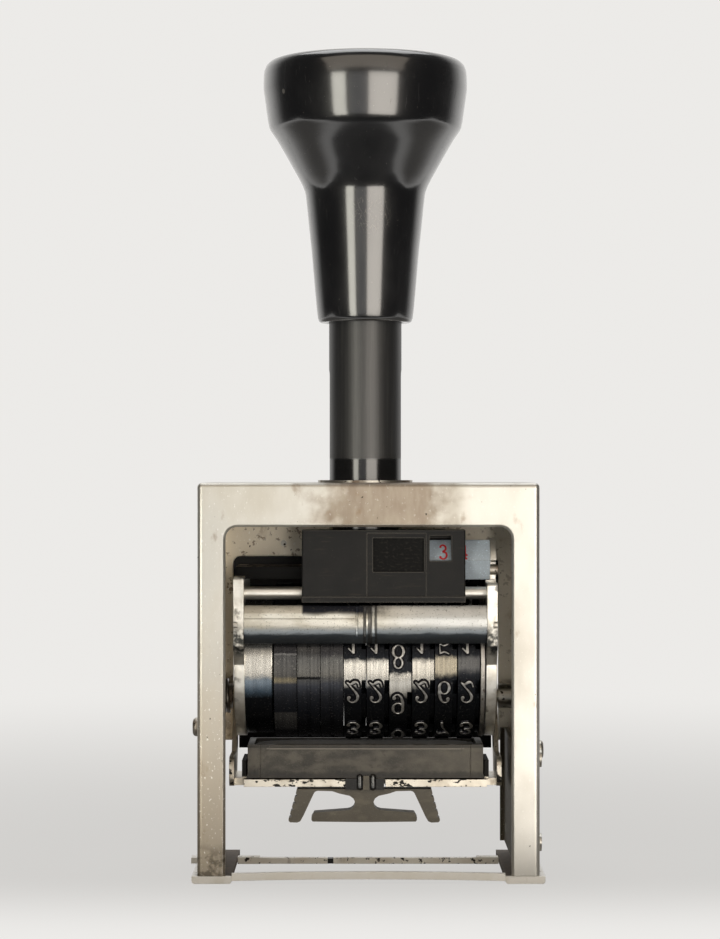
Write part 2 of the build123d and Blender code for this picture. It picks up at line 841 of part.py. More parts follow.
def side_screw(side):
    """The screw that holds one end of the front bar to its cheek."""
    y = (bar_front + bar_back) / 2
    z = (bar_top + bar_bottom) / 2
    head = rod_x(side_head_radius, side * (cheek_outer - side_head), side * cheek_outer, y, z)
    shank = rod_x(side_screw_radius, side * (cheek_outer - side_screw_length),
                  side * (cheek_outer - side_head), y, z)
    return head + shank


def scale_lug_outline():
    """The lug of the right-hand cheek that stands behind the scale's end and carries its pin."""
    root = bridge_bottom - lug_inset
    return outline((scale_front + lug_inset, scale_edge_z), (scale_crest_y, bracket_top),
                   (scale_back + lug_inset, bracket_top), (lug_back, root),
                   (scale_back, root), (scale_back, scale_edge_z - lug_step))


def make_cheek(side):
    ear_top = left_ear_top if side < 0 else right_ear_top
    cheek = plate_x(cheek_outline(ear_top), side * cheek_inner, side * cheek_outer)
    if side > 0:
        cheek += plate_x(scale_lug_outline(), bracket_inner, cheek_outer)
    inside = side * (cheek_inner - overcut)
    cheek -= rod_x(axle_radius, inside, side * (cheek_outer - end_head), 0, axle_z)
    cheek -= end_screw(side)
    cheek -= side_screw(side)
    cheek -= rod_x(selector_rod_radius, inside, side * (cheek_outer - rod_end_wall),
                   selector_rod_y, selector_rod_z)
    for x, y in bridge_screw_places():
        if x * side > 0:
            cheek -= bridge_screw(x, y)
    return works(cheek)


def make_carriage_bar():
    """The cast bar across the front: stepped on the left, rounded on the right, notched between."""
    lip = (bar_front + bar_top_setback, bar_top)
    crown = (bar_front, bar_top - bar_crown_drop)
    foot = (bar_back - bar_foot_step, bar_bottom)
    heel = (bar_back, bar_bottom + bar_foot_chamfer)
    back = (bar_back, bar_top)
    lines = [ThreePointArc(lip, crown, foot), Line(foot, heel), Line(heel, back), Line(back, lip)]
    bar = plate_x(make_face(Curve() + lines), -cheek_inner, cheek_inner)
    outside = bar_front - overcut
    bar -= block(-cheek_inner, bar_notch_left, outside, bar_front + bar_step, bar_step_z, bar_top)
    for start, end in bar_notch_grooves:
        bar -= block(bar_notch_left + start, bar_notch_left + end, outside, bar_front + bar_notch_depth,
                     bar_bottom - overcut, bar_top + overcut)
    for side in (-1, 1):
        bar -= side_screw(side)
    return works(bar)


def make_bar_screws():
    return works(group([side_screw(side) for side in (-1, 1)]))


def make_hub_drum():
    """The fixed drum between the left cheek and the rings."""
    drum = rod_x(hub_radius, -cheek_inner, hub_end, 0, axle_z)
    drum = fillet(drum.edges().sort_by(Axis.X)[-1], hub_edge_round)
    return works(drum - rod_x(axle_radius, -cheek_inner - overcut, hub_end + overcut, 0, axle_z))


def make_selector_rod():
    reach = cheek_outer - rod_end_wall
    return works(rod_x(selector_rod_radius, -reach, reach, selector_rod_y, selector_rod_z))


def make_wheel_axle():
    reach = cheek_outer - end_head
    axle = rod_x(axle_radius, -reach, reach, 0, axle_z)
    for side in (-1, 1):
        axle -= end_screw(side)
    return works(axle)


def make_axle_end_screws():
    return works(group([end_screw(side) for side in (-1, 1)]))


def scale_outline(gap):
    """The section of the repeat scale, or of the channel round it when gap is more than 0."""
    low = scale_edge_z - scale_half_height
    high = scale_edge_z + scale_half_height
    section = outline((scale_front, scale_edge_z), (scale_crest_y, high), (scale_back, high),
                      (scale_back, low), (scale_crest_y, low))
    return offset(section, amount=gap, kind=Kind.INTERSECTION) if gap else section


def scale_pin():
    """The stop pin in the right-hand end of the scale."""
    end = bracket_inner + scale_pin_reach
    return rod_x(scale_pin_radius, bracket_inner - scale_pin_root, end, scale_pin_y, scale_pin_z)


def make_scale_bar():
    return works(plate_x(scale_outline(0), scale_left, bracket_inner) - scale_pin())


def make_scale_bar_pin():
    return works(scale_pin())


def wheel_start(index):
    return wheel_first + index * wheel_pitch


def comb(angle, bar_radius, bar_side, x0, x1):
    """A bar along X beside the wheels, with one finger for each wheel's ratchet."""
    bar = at_wheel_angle(block(x0, x1, -bar_side / 2, bar_side / 2, -bar_side / 2, bar_side / 2),
                         angle, bar_radius)
    reach = bar_radius - ratchet_radius - finger_gap
    for index in range(wheel_count):
        x = wheel_start(index) + type_width + ratchet_width / 2
        finger = block(x - finger_width / 2, x + finger_width / 2, -reach, 0,
                       -finger_thickness / 2, finger_thickness / 2)
        bar += at_wheel_angle(finger, angle, bar_radius)
    return bar


def make_detent_bar():
    return works(comb(detent_angle, detent_bar_radius, detent_bar_side, -cheek_inner, cheek_inner))


# ---- repeat selector -----------------------------------------------------------------------------
def slider_back_step():
    """The slider's back slants in to its foot as far down as it goes forward."""
    return slider_back - slider_foot_back


def slider_body():
    lip_front = slider_front - slider_lip
    section = outline((slider_front, slider_bottom + slider_lip_height), (slider_front, slider_top),
                      (slider_back, slider_top), (slider_back, scale_edge_z - scale_half_height),
                      (slider_foot_back, scale_edge_z - scale_half_height - slider_back_step()),
                      (slider_foot_back, slider_bottom), (lip_front, slider_bottom),
                      (lip_front, slider_bottom + slider_lip_height))
    body = plate_x(section, slider_left, slider_right)
    upright = body.edges().filter_by(Axis.Z).group_by(Axis.Y)[1]
    return fillet(upright, slider_round)


def make_selector_slider():
    """The sliding selector, which runs on the rod and round the scale."""
    slider = slider_body()
    end = slider_right + overcut
    outside = slider_front - overcut
    slider -= rod_x(selector_rod_radius + slide_fit, slider_left - overcut, end,
                    selector_rod_y, selector_rod_z)
    channel_left = scale_left - scale_pitch - channel_gap
    slider -= plate_x(scale_outline(channel_gap), channel_left, end)
    slider -= block(panel_left, panel_right, outside, slider_front + panel_depth,
                    slider_bottom + slider_lip_height, slider_top - panel_margin)
    slider -= block(panel_left + label_left_margin, panel_right - label_right_margin, outside,
                    slider_front + label_depth, label_bottom, label_bottom + label_height)
    slider -= block(reading_left, reading_left + reading_width, outside, scale_crest_y,
                    reading_bottom, reading_bottom + reading_height)
    pocket = ball_radius + slide_fit
    slider -= rod_z(pocket, selector_rod_z, selector_rod_z + selector_rod_radius + click_pocket_height,
                    ball_x, selector_rod_y)
    return works(slider)


def make_selector_click_ball():
    return works(Pos(ball_x, selector_rod_y, ball_z) * Sphere(ball_radius))


def make_selector_click_spring():
    high = selector_rod_z + selector_rod_radius + click_pocket_height
    radius = ball_radius - 2 * click_spring_wire
    spring = coil(radius, click_spring_wire, ball_z + click_spring_seat, high, click_spring_turns)
    return works(Pos(ball_x, selector_rod_y, 0) * spring)


# ---- number wheels, repeat rings and pawls -------------------------------------------------------
def make_number_wheel(index):
    """A type wheel with its ratchet: one slot for each of its ten figures."""
    x0 = wheel_start(index)
    x1 = x0 + type_width
    x2 = x1 + ratchet_width
    band = ring_x(wheel_body_radius, x0, x1)
    ratchet = ring_x(ratchet_radius, x1, x2)
    middle = ratchet_radius - ratchet_slot_depth / 2
    phase = digit_offset + wheel_phase.get(index, 0.0)
    for step in range(digits_per_wheel):
        angle = 360 / digits_per_wheel * step + phase
        slot = block(x1, x2 + overcut, -ratchet_slot_depth, ratchet_slot_depth / 2 + overcut,
                     -ratchet_slot_width / 2, ratchet_slot_width / 2)
        ratchet -= at_wheel_angle(slot, angle, middle)
    return works(band + ratchet)


def make_repeat_ring(index):
    x0 = pawl_ring_right + ring_gap + index * ring_pitch
    middle = x0 + ring_width / 2
    groove = rod_x(ring_radius + overcut, middle - ring_groove, middle + ring_groove, 0, axle_z)
    groove -= rod_x(ring_radius - ring_groove, middle - overcut, middle + overcut, 0, axle_z)
    return works(ring_x(ring_radius, x0, x0 + ring_width) - groove)


def pawl_lobe(x0, x1):
    """The part of a pawl arm that reaches out past the wheels to the pawl bar."""
    reach = pawl_bar_side / 2 + pawl_lobe_margin
    root = 2 * axle_radius - pawl_bar_radius
    lobe = block(x0, x1, root, reach, -pawl_lobe_width / 2, pawl_lobe_width / 2)
    lobe = fillet(lobe.edges().filter_by(Axis.X).group_by(Axis.Y)[-1], pawl_lobe_round)
    return at_wheel_angle(lobe, pawl_rest_angle, pawl_bar_radius)


def make_pawl_arm(x0, x1):
    return works(ring_x(ring_radius, x0, x1) + pawl_lobe(x0, x1))


def make_pawl_bar():
    return works(comb(pawl_rest_angle, pawl_bar_radius, pawl_bar_side, pawl_ring_right, pawl_plate_left))


# ---- pad tray, cassette and grip -----------------------------------------------------------------
def arm_outline():
    """A tray arm: a low side wall, and a slanting bar up to the pivot."""
    top = tray_bottom + tray_side_height
    wall = Pos((tray_front + tray_back) / 2, (tray_bottom + top) / 2)
    wall = wall * Rectangle(tray_back - tray_front, tray_side_height)
    wall = fillet(wall.vertices(), tray_corner)
    foot_y = tray_back - arm_width / 2
    foot_z = tray_bottom + tray_side_height / 2
    rise = hypot(pivot_y - foot_y, pivot_z - foot_z)
    tilt = degrees(atan2(pivot_z - foot_z, pivot_y - foot_y))
    bar = Pos((pivot_y + foot_y) / 2, (pivot_z + foot_z) / 2) * Rot(0, 0, tilt) * Rectangle(rise, arm_width)
    end = Pos(pivot_y, pivot_z) * Circle(arm_end_radius)
    return wall + bar + end - Pos(pivot_y, pivot_z) * Circle(pivot_radius + running_gap)


def make_pad_tray():
    """The bent tray that carries the cassette between its two arms."""
    tray = block(-arm_inner, arm_inner, tray_front + tray_setback, tray_back, tray_bottom, tray_floor_top)
    front_half = cassette_half + tray_front_extra
    tray += block(-front_half, front_half, tray_front, tray_back, tray_bottom, tray_floor_top)
    tray -= block(-tray_slot_half, tray_slot_half, tray_front - overcut, tray_front + tray_slot_depth,
                  tray_bottom - overcut, tray_floor_top + overcut)
    tray += block(-cassette_half, cassette_half, tray_back, tray_back + tray_lip,
                  tray_bottom, tray_floor_top + rail_height)
    for side in (-1, 1):
        tray += plate_x(arm_outline(), side * arm_inner, side * arm_outer)
        x0 = side * (cassette_half + rail_gap)
        tray += block(x0, x0 + side * rail_thickness, tray_front + tray_setback, tray_back,
                      tray_floor_top, tray_floor_top + rail_height)
    return works(tray)


def make_cassette_body():
    """The open box that holds the ink pad, with a thick front wall and a raised rib along it."""
    box = block(-cassette_half, cassette_half, cassette_front, cassette_back, cassette_bottom, cassette_top)
    box -= block(-cassette_half + cassette_wall, cassette_half - cassette_wall,
                 cassette_front + cassette_front_wall, cassette_back - cassette_wall,
                 cassette_bottom + cassette_floor, cassette_top + overcut)
    for x in (cassette_seam_inset - cassette_half, cassette_half - cassette_seam_inset):
        box -= block(x - cassette_seam / 2, x + cassette_seam / 2, cassette_front - overcut,
                     cassette_front + cassette_seam, cassette_bottom - overcut, cassette_top + overcut)
    ridge_half = cassette_half - cassette_ridge_inset
    ridge_top = cassette_top - cassette_ridge_drop
    box += block(-ridge_half, ridge_half, cassette_front - cassette_ridge, cassette_front,
                 ridge_top - cassette_ridge_height, ridge_top)
    return works(box)


def make_ink_pad():
    half = cassette_half - cassette_wall - pad_gap
    return works(block(-half, half, cassette_front + cassette_front_wall + pad_gap,
                       cassette_back - cassette_wall - pad_gap, cassette_bottom + cassette_floor, pad_top))


def grip_leg(side):
    """One splayed leg of the grip."""
    root = grip_top - grip_bar_thickness
    return outline((side * grip_leg_root, root), (side * grip_bar_half, root),
                   (side * grip_tip_outer, grip_tip_z + grip_tip_chamfer),
                   (side * (grip_tip_outer - grip_tip_chamfer), grip_tip_z),
                   (side * grip_tip_inner, grip_tip_z + grip_tip_slant))


def make_cassette_grip():
    """The finger grip under the front of the cassette, one section drawn out in depth."""
    root = grip_top - grip_bar_thickness
    section = outline((-grip_bar_half, root), (grip_bar_half, root),
                      (grip_bar_half, grip_top), (-grip_bar_half, grip_top))
    for side in (-1, 1):
        section += grip_leg(side)
    t_top = grip_tip_z + grip_t_height
    t_end = t_top - grip_t_slope
    section += outline((-grip_stem_half, root), (-grip_stem_half, t_top), (-grip_t_half, t_end),
                       (-grip_t_half, grip_tip_z), (grip_t_half, grip_tip_z), (grip_t_half, t_end),
                       (grip_stem_half, t_top), (grip_stem_half, root))
    corners = section.vertices().filter_by(lambda v: abs(abs(v.X) - grip_stem_half) < grip_blend / 2)
    section = fillet(corners, grip_blend)
    grip = plate_y(section, grip_front, grip_front + grip_depth)
    grip += block(-grip_neck_half, grip_neck_half, grip_front + grip_neck_setback, grip_front + grip_depth,
                  grip_top, cassette_bottom)
    return works(grip)


nodes = {
    "frame": make_frame(),
    "left_foot_plate": make_foot(-1),
    "right_foot_plate": make_foot(1),
    "foot_screws": make_foot_screws(),
    "front_guide_bar": make_front_guide_bar(),
    "rear_guide_bars": make_rear_guide_bars(),
    "rear_cover": make_rear_cover(),
    "rear_cover_screws": make_rear_cover_screws(),
    "pad_guide_plate": make_pad_guide_plate(),
    "guide_plate_rivets": make_guide_plate_rivets(),
    "swing_stop_studs": make_swing_stop_studs(),
    "stem_bushing": make_stem_bushing(),
    "spring_cross_pin": make_spring_cross_pin(),
    "pad_pivot_screws": make_pad_pivot_screws(),
    "pad_pivot_spacers": make_pad_pivot_spacers(),
    "pad_return_spring": make_pad_return_spring(),
    "knob": make_knob(),
    "knob_insert": make_knob_insert(),
    "plunger_tube": make_plunger_tube(),
    "tube_plug": make_tube_plug(),
    "tube_collar": make_tube_collar(),
    "return_spring": make_return_spring(),
    "carriage_bridge": make_carriage_bridge(),
    "bridge_screws": make_bridge_screws(),
    "left_cheek": make_cheek(-1),
    "right_cheek": make_cheek(1),
    "carriage_bar": make_carriage_bar(),
    "bar_screws": make_bar_screws(),
    "hub_drum": make_hub_drum(),
    "selector_rod": make_selector_rod(),
    "wheel_axle": make_wheel_axle(),
    "axle_end_screws": make_axle_end_screws(),
    "scale_bar": make_scale_bar(),
    "scale_bar_pin": make_scale_bar_pin(),
    "detent_bar": make_detent_bar(),
    "selector_slider": make_selector_slider(),
    "selector_click_ball": make_selector_click_ball(),
    "selector_click_spring": make_selector_click_spring(),
    "pawl_ring": make_pawl_arm(pawl_ring_left, pawl_ring_right),
    "pawl_plate": make_pawl_arm(pawl_plate_left, pawl_plate_right),
    "pawl_bar": make_pawl_bar(),
    "pad_tray": make_pad_tray(),
    "cassette_body": make_cassette_body(),
    "ink_pad": make_ink_pad(),
    "cassette_grip": make_cassette_grip(),
}
for index in range(wheel_count):
    nodes[f"number_wheel_{index + 1}"] = make_number_wheel(index)
for index in range(repeat_ring_count):
    nodes[f"repeat_ring_{index + 1}"] = make_repeat_ring(index)

os.makedirs("parts", exist_ok=True)
for name, part in nodes.items():
    export_step(part, f"parts/{name}.step")
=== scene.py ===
import math

import bmesh
import bpy
import numpy as np
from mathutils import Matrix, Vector
from mathutils.geometry import tessellate_polygon

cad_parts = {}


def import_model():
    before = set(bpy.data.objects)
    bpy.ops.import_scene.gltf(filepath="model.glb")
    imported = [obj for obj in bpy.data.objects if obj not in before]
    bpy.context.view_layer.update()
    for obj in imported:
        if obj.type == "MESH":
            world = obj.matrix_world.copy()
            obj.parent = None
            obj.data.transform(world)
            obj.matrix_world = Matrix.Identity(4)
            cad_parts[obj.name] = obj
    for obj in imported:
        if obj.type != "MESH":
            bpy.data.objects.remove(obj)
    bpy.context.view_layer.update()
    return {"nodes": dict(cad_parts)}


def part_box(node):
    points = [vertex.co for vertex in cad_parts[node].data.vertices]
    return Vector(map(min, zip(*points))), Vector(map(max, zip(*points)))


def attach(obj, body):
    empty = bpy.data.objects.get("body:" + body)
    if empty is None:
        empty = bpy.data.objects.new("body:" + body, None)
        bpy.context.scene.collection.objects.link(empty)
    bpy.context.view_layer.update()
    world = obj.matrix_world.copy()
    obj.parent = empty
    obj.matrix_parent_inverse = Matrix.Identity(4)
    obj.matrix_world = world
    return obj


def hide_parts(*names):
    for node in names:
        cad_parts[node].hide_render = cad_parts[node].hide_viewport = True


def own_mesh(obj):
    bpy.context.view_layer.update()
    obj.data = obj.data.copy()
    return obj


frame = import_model()

MM = 0.001
WORKS_X = -0.6  # the middle of the knob, tube and works
AXLE_Z = 43.5
FACE_RADIUS, BAND_RADIUS = 16.4, 15.82  # the type's face, and the sheet it stands on
GLYPH_WIDTH, GLYPH_HEIGHT = 2.95, 4.7


# ---------------------------------------------------------------- meshes


def add_object(name, data):
    made = bpy.data.objects.new(name, data)
    bpy.context.scene.collection.objects.link(made)
    return made


def mesh_object(name, points, faces, material, smooth=True):
    """A mesh from points in millimetres."""
    mesh = bpy.data.meshes.new(name)
    mesh.from_pydata([tuple(MM * value for value in point) for point in points], [], faces)
    mesh.validate()
    mesh.polygons.foreach_set("use_smooth", [smooth] * len(mesh.polygons))
    mesh.materials.append(material)
    return add_object(name, mesh)


def circle(sides):
    """The cosine and sine of each step once round."""
    turns = [2 * math.pi * i / sides for i in range(sides)]
    return [(math.cos(turn), math.sin(turn)) for turn in turns]


def row_faces(rows, sides):
    """Quads between rows of points that each go once round; the first row is the top one."""
    faces = []
    for row in range(rows - 1):
        top, low = row * sides, (row + 1) * sides
        for i in range(sides):
            j = (i + 1) % sides
            faces.append((top + i, low + i, low + j, top + j))
    return faces


def lathe(name, profile, material, segments):
    """The profile, as (radius, height) pairs from the top down, turned about the works' middle line."""
    points = []
    for radius, height in profile:
        points += [(WORKS_X + radius * c, radius * s, height) for c, s in circle(segments)]
    return mesh_object(name, points, row_faces(len(profile), segments), material)


def smooth_line(points, steps):
    """Points along a Catmull-Rom curve through the given ones."""
    ends = [points[0], *points, points[-1]]
    line = []
    for before, a, b, after in zip(ends, ends[1:], ends[2:], ends[3:]):
        before, a, b, after = (np.array(point, float) for point in (before, a, b, after))
        bend = 2 * before - 5 * a + 4 * b - after
        twist = 3 * a - before - 3 * b + after
        for t in np.arange(steps) / steps:
            line.append(a + 0.5 * ((b - before) * t + bend * t**2 + twist * t**3))
    line.append(np.array(points[-1], float))
    return np.array(line)


# Each figure through a unit box: "line" strokes as (x, y, width), "ring" strokes as
# (middle x, middle y, radius x, radius y, width at the sides, width at top and bottom).
# Widths are millimetres.
HAIR, THIN, HALF, STEM, BALL = 0.24, 0.3, 0.42, 0.58, 0.76
FIGURES = {
    "0": [("ring", (0.5, 0.5, 0.36, 0.48, STEM, HAIR))],
    "1": [
        ("line", [(0.54, 0.03, STEM), (0.54, 0.93, STEM)]),
        ("line", [(0.52, 0.95, THIN), (0.2, 0.74, HAIR)]),
        ("line", [(0.22, 0.02, HAIR), (0.86, 0.02, HAIR)]),
    ],
    "2": [
        ("line", [
            (0.24, 0.76, BALL), (0.2, 0.88, THIN), (0.44, 0.99, HAIR), (0.74, 0.92, HALF),
            (0.85, 0.72, STEM), (0.7, 0.5, HALF), (0.42, 0.28, THIN), (0.14, 0.06, HAIR),
        ]),
        ("line", [
            (0.12, 0.05, THIN), (0.34, 0.13, HALF), (0.62, 0.03, STEM), (0.84, 0.06, THIN),
            (0.93, 0.24, HAIR),
        ]),
    ],
    "3": [
        ("line", [
            (0.22, 0.8, BALL), (0.24, 0.93, THIN), (0.5, 1, HAIR), (0.76, 0.88, HALF),
            (0.76, 0.66, HALF), (0.42, 0.53, HAIR),
        ]),
        ("line", [
            (0.42, 0.53, HAIR), (0.8, 0.44, HALF), (0.88, 0.24, STEM), (0.7, 0.04, HALF),
            (0.44, 0, HAIR), (0.2, 0.08, THIN), (0.2, 0.2, BALL),
        ]),
    ],
    "4": [
        ("line", [(0.68, 0.04, STEM), (0.68, 0.98, STEM)]),
        ("line", [(0.64, 0.98, THIN), (0.06, 0.3, HAIR)]),
        ("line", [(0.06, 0.28, THIN), (0.96, 0.28, THIN)]),
        ("line", [(0.42, 0.02, HAIR), (0.92, 0.02, HAIR)]),
    ],
    "5": [
        ("line", [(0.24, 0.97, THIN), (0.52, 0.9, HALF), (0.84, 0.99, HAIR)]),
        ("line", [(0.24, 0.96, THIN), (0.2, 0.5, HAIR)]),
        ("line", [
            (0.2, 0.5, HAIR), (0.44, 0.62, THIN), (0.76, 0.54, HALF), (0.88, 0.31, STEM),
            (0.72, 0.07, HALF), (0.45, 0, HAIR), (0.2, 0.08, THIN), (0.2, 0.2, BALL),
        ]),
    ],
    "6": [
        ("ring", (0.52, 0.29, 0.34, 0.28, STEM, HAIR)),
        ("line", [
            (0.2, 0.3, STEM), (0.2, 0.62, STEM), (0.34, 0.9, HALF), (0.56, 1, HAIR), (0.78, 0.93, THIN),
            (0.78, 0.82, BALL),
        ]),
    ],
    "7": [
        ("line", [
            (0.1, 0.78, HAIR), (0.16, 0.95, THIN), (0.38, 0.94, HALF), (0.62, 0.87, HALF),
            (0.9, 0.99, HAIR),
        ]),
        ("line", [(0.9, 0.98, HAIR), (0.62, 0.6, THIN), (0.44, 0.3, HALF), (0.4, 0.04, STEM)]),
    ],
    "8": [
        ("ring", (0.5, 0.77, 0.28, 0.23, HALF, THIN)),
        ("ring", (0.5, 0.27, 0.36, 0.27, STEM, THIN)),
    ],
}
TURNED = {
    "line": lambda points: [(1 - x, 1 - y, width) for x, y, width in points],
    "ring": lambda ring: (1 - ring[0], 1 - ring[1], *ring[2:]),
}
FIGURES["9"] = [(kind, TURNED[kind](points)) for kind, points in FIGURES["6"]]
SMOOTH_STEPS, RING_STEPS = 7, 40
FIGURE_CELL = 0.085  # the grid a raised figure is drawn on
FIGURE_MARGIN = 0.5  # how far the grid reaches past the figure
FIGURE_FLANK = 0.1  # the width of the slope round a stroke
FIGURE_HALO, HALO_RISE = 0.32, 0.05  # the low sheet kept round a stroke, and its height
TINY = 1e-9  # keeps a stroke of no length from dividing by zero


def stroke_line(kind, points):
    """A stroke as rows of (x, y, width)."""
    if kind == "line":
        return smooth_line(points, SMOOTH_STEPS)
    x, y, radius_x, radius_y, side, top = points
    turns = np.linspace(0, 2 * math.pi, RING_STEPS + 1)
    width = top + (side - top) * np.cos(turns) ** 2
    return np.stack([x + radius_x * np.cos(turns), y + radius_y * np.sin(turns), width], axis=-1)


def figure_depth(figure, across, up, size):
    """How far inside the figure each point lies, in millimetres; negative outside."""
    depth = np.full(across.shape, -np.inf)
    for kind, points in FIGURES[figure]:
        line = stroke_line(kind, points)
        spots = (line[:, :2] - 0.5) * size
        halves = line[:, 2] / 2
        for a, b, half_a, half_b in zip(spots, spots[1:], halves, halves[1:]):
            run = b - a
            share = ((across - a[0]) * run[0] + (up - a[1]) * run[1]) / max(run @ run, TINY)
            share = np.clip(share, 0, 1)
            gap = np.hypot(across - a[0] - share * run[0], up - a[1] - share * run[1])
            depth = np.maximum(depth, half_a + (half_b - half_a) * share - gap)
    return depth


def figure_sheet(figure, size, height):
    """A raised figure as (across, up, height) points and faces, round (0, 0)."""
    reach = np.array(size) / 2 + FIGURE_MARGIN
    columns = np.arange(-reach[0], reach[0], FIGURE_CELL)
    rows = np.arange(-reach[1], reach[1], FIGURE_CELL)
    across, up = np.meshgrid(columns, rows)
    depth = figure_depth(figure, across, up, np.array(size))
    rise = HALO_RISE + np.clip((depth + FIGURE_FLANK) / FIGURE_FLANK, 0, 1) * height
    near = depth > -FIGURE_HALO
    corners = near[:-1, :-1] | near[1:, :-1] | near[:-1, 1:] | near[1:, 1:]
    number = np.arange(across.size).reshape(across.shape)
    quads = np.stack([number[:-1, :-1], number[:-1, 1:], number[1:, 1:], number[1:, :-1]], axis=-1)
    quads = quads[corners]
    used, faces = np.unique(quads, return_inverse=True)
    points = np.stack([across.ravel(), up.ravel(), rise.ravel()], axis=-1)[used]
    return points, faces.reshape(-1, 4)


def figure_ribbons(figure, size, width):
    """A flat figure of one line width as (across, up) points and faces, round (0, 0)."""
    points, faces = [], []
    for kind, strokes in FIGURES[figure]:
        line = (stroke_line(kind, strokes)[:, :2] - 0.5) * np.array(size)
        along = np.gradient(line, axis=0)
        along /= np.linalg.norm(along, axis=1)[:, None]
        side = np.stack([-along[:, 1], along[:, 0]], axis=-1) * width / 2
        start = len(points)
        for left, right in zip(line + side, line - side):
            points += [tuple(left), tuple(right)]
        for low in range(start, len(points) - 2, 2):
            faces.append((low, low + 1, low + 3, low + 2))
    return points, faces


def cutout(name, outline, near, far, material):
    """A plate between two depths, its outline given as (x, height)."""
    count = len(outline)
    points = [(x, near, height) for x, height in outline]
    points += [(x, far, height) for x, height in outline]
    fronts = tessellate_polygon([[Vector((x, height, 0)) for x, height in outline]])
    faces = [tuple(face) for face in fronts]
    faces += [tuple(i + count for i in reversed(face)) for face in fronts]
    for i in range(count):
        j = (i + 1) % count
        faces.append((i, i + count, j + count, j))
    made = mesh_object(name, points, faces, material, False)
    shape = bmesh.new()
    shape.from_mesh(made.data)
    bmesh.ops.recalc_face_normals(shape, faces=shape.faces)
    shape.to_mesh(made.data)
    shape.free()
    return made


# ------------------------------------------------------------- materials


EDGE_FROM, EDGE_FULL = 0.995, 0.86  # cosines between the rounded and the flat normal


def fill(tree, socket, value):
    """Joins value to a socket when it is another node's output, or else sets it."""
    if isinstance(value, bpy.types.NodeSocket):
        tree.links.new(value, socket)
    else:
        socket.default_value = value


def add_node(tree, kind, values=None, **settings):
    made = tree.nodes.new("ShaderNode" + kind)
    for key, value in settings.items():
        setattr(made, key, value)
    for socket, value in (values or {}).items():
        fill(tree, made.inputs[socket], value)
    return made


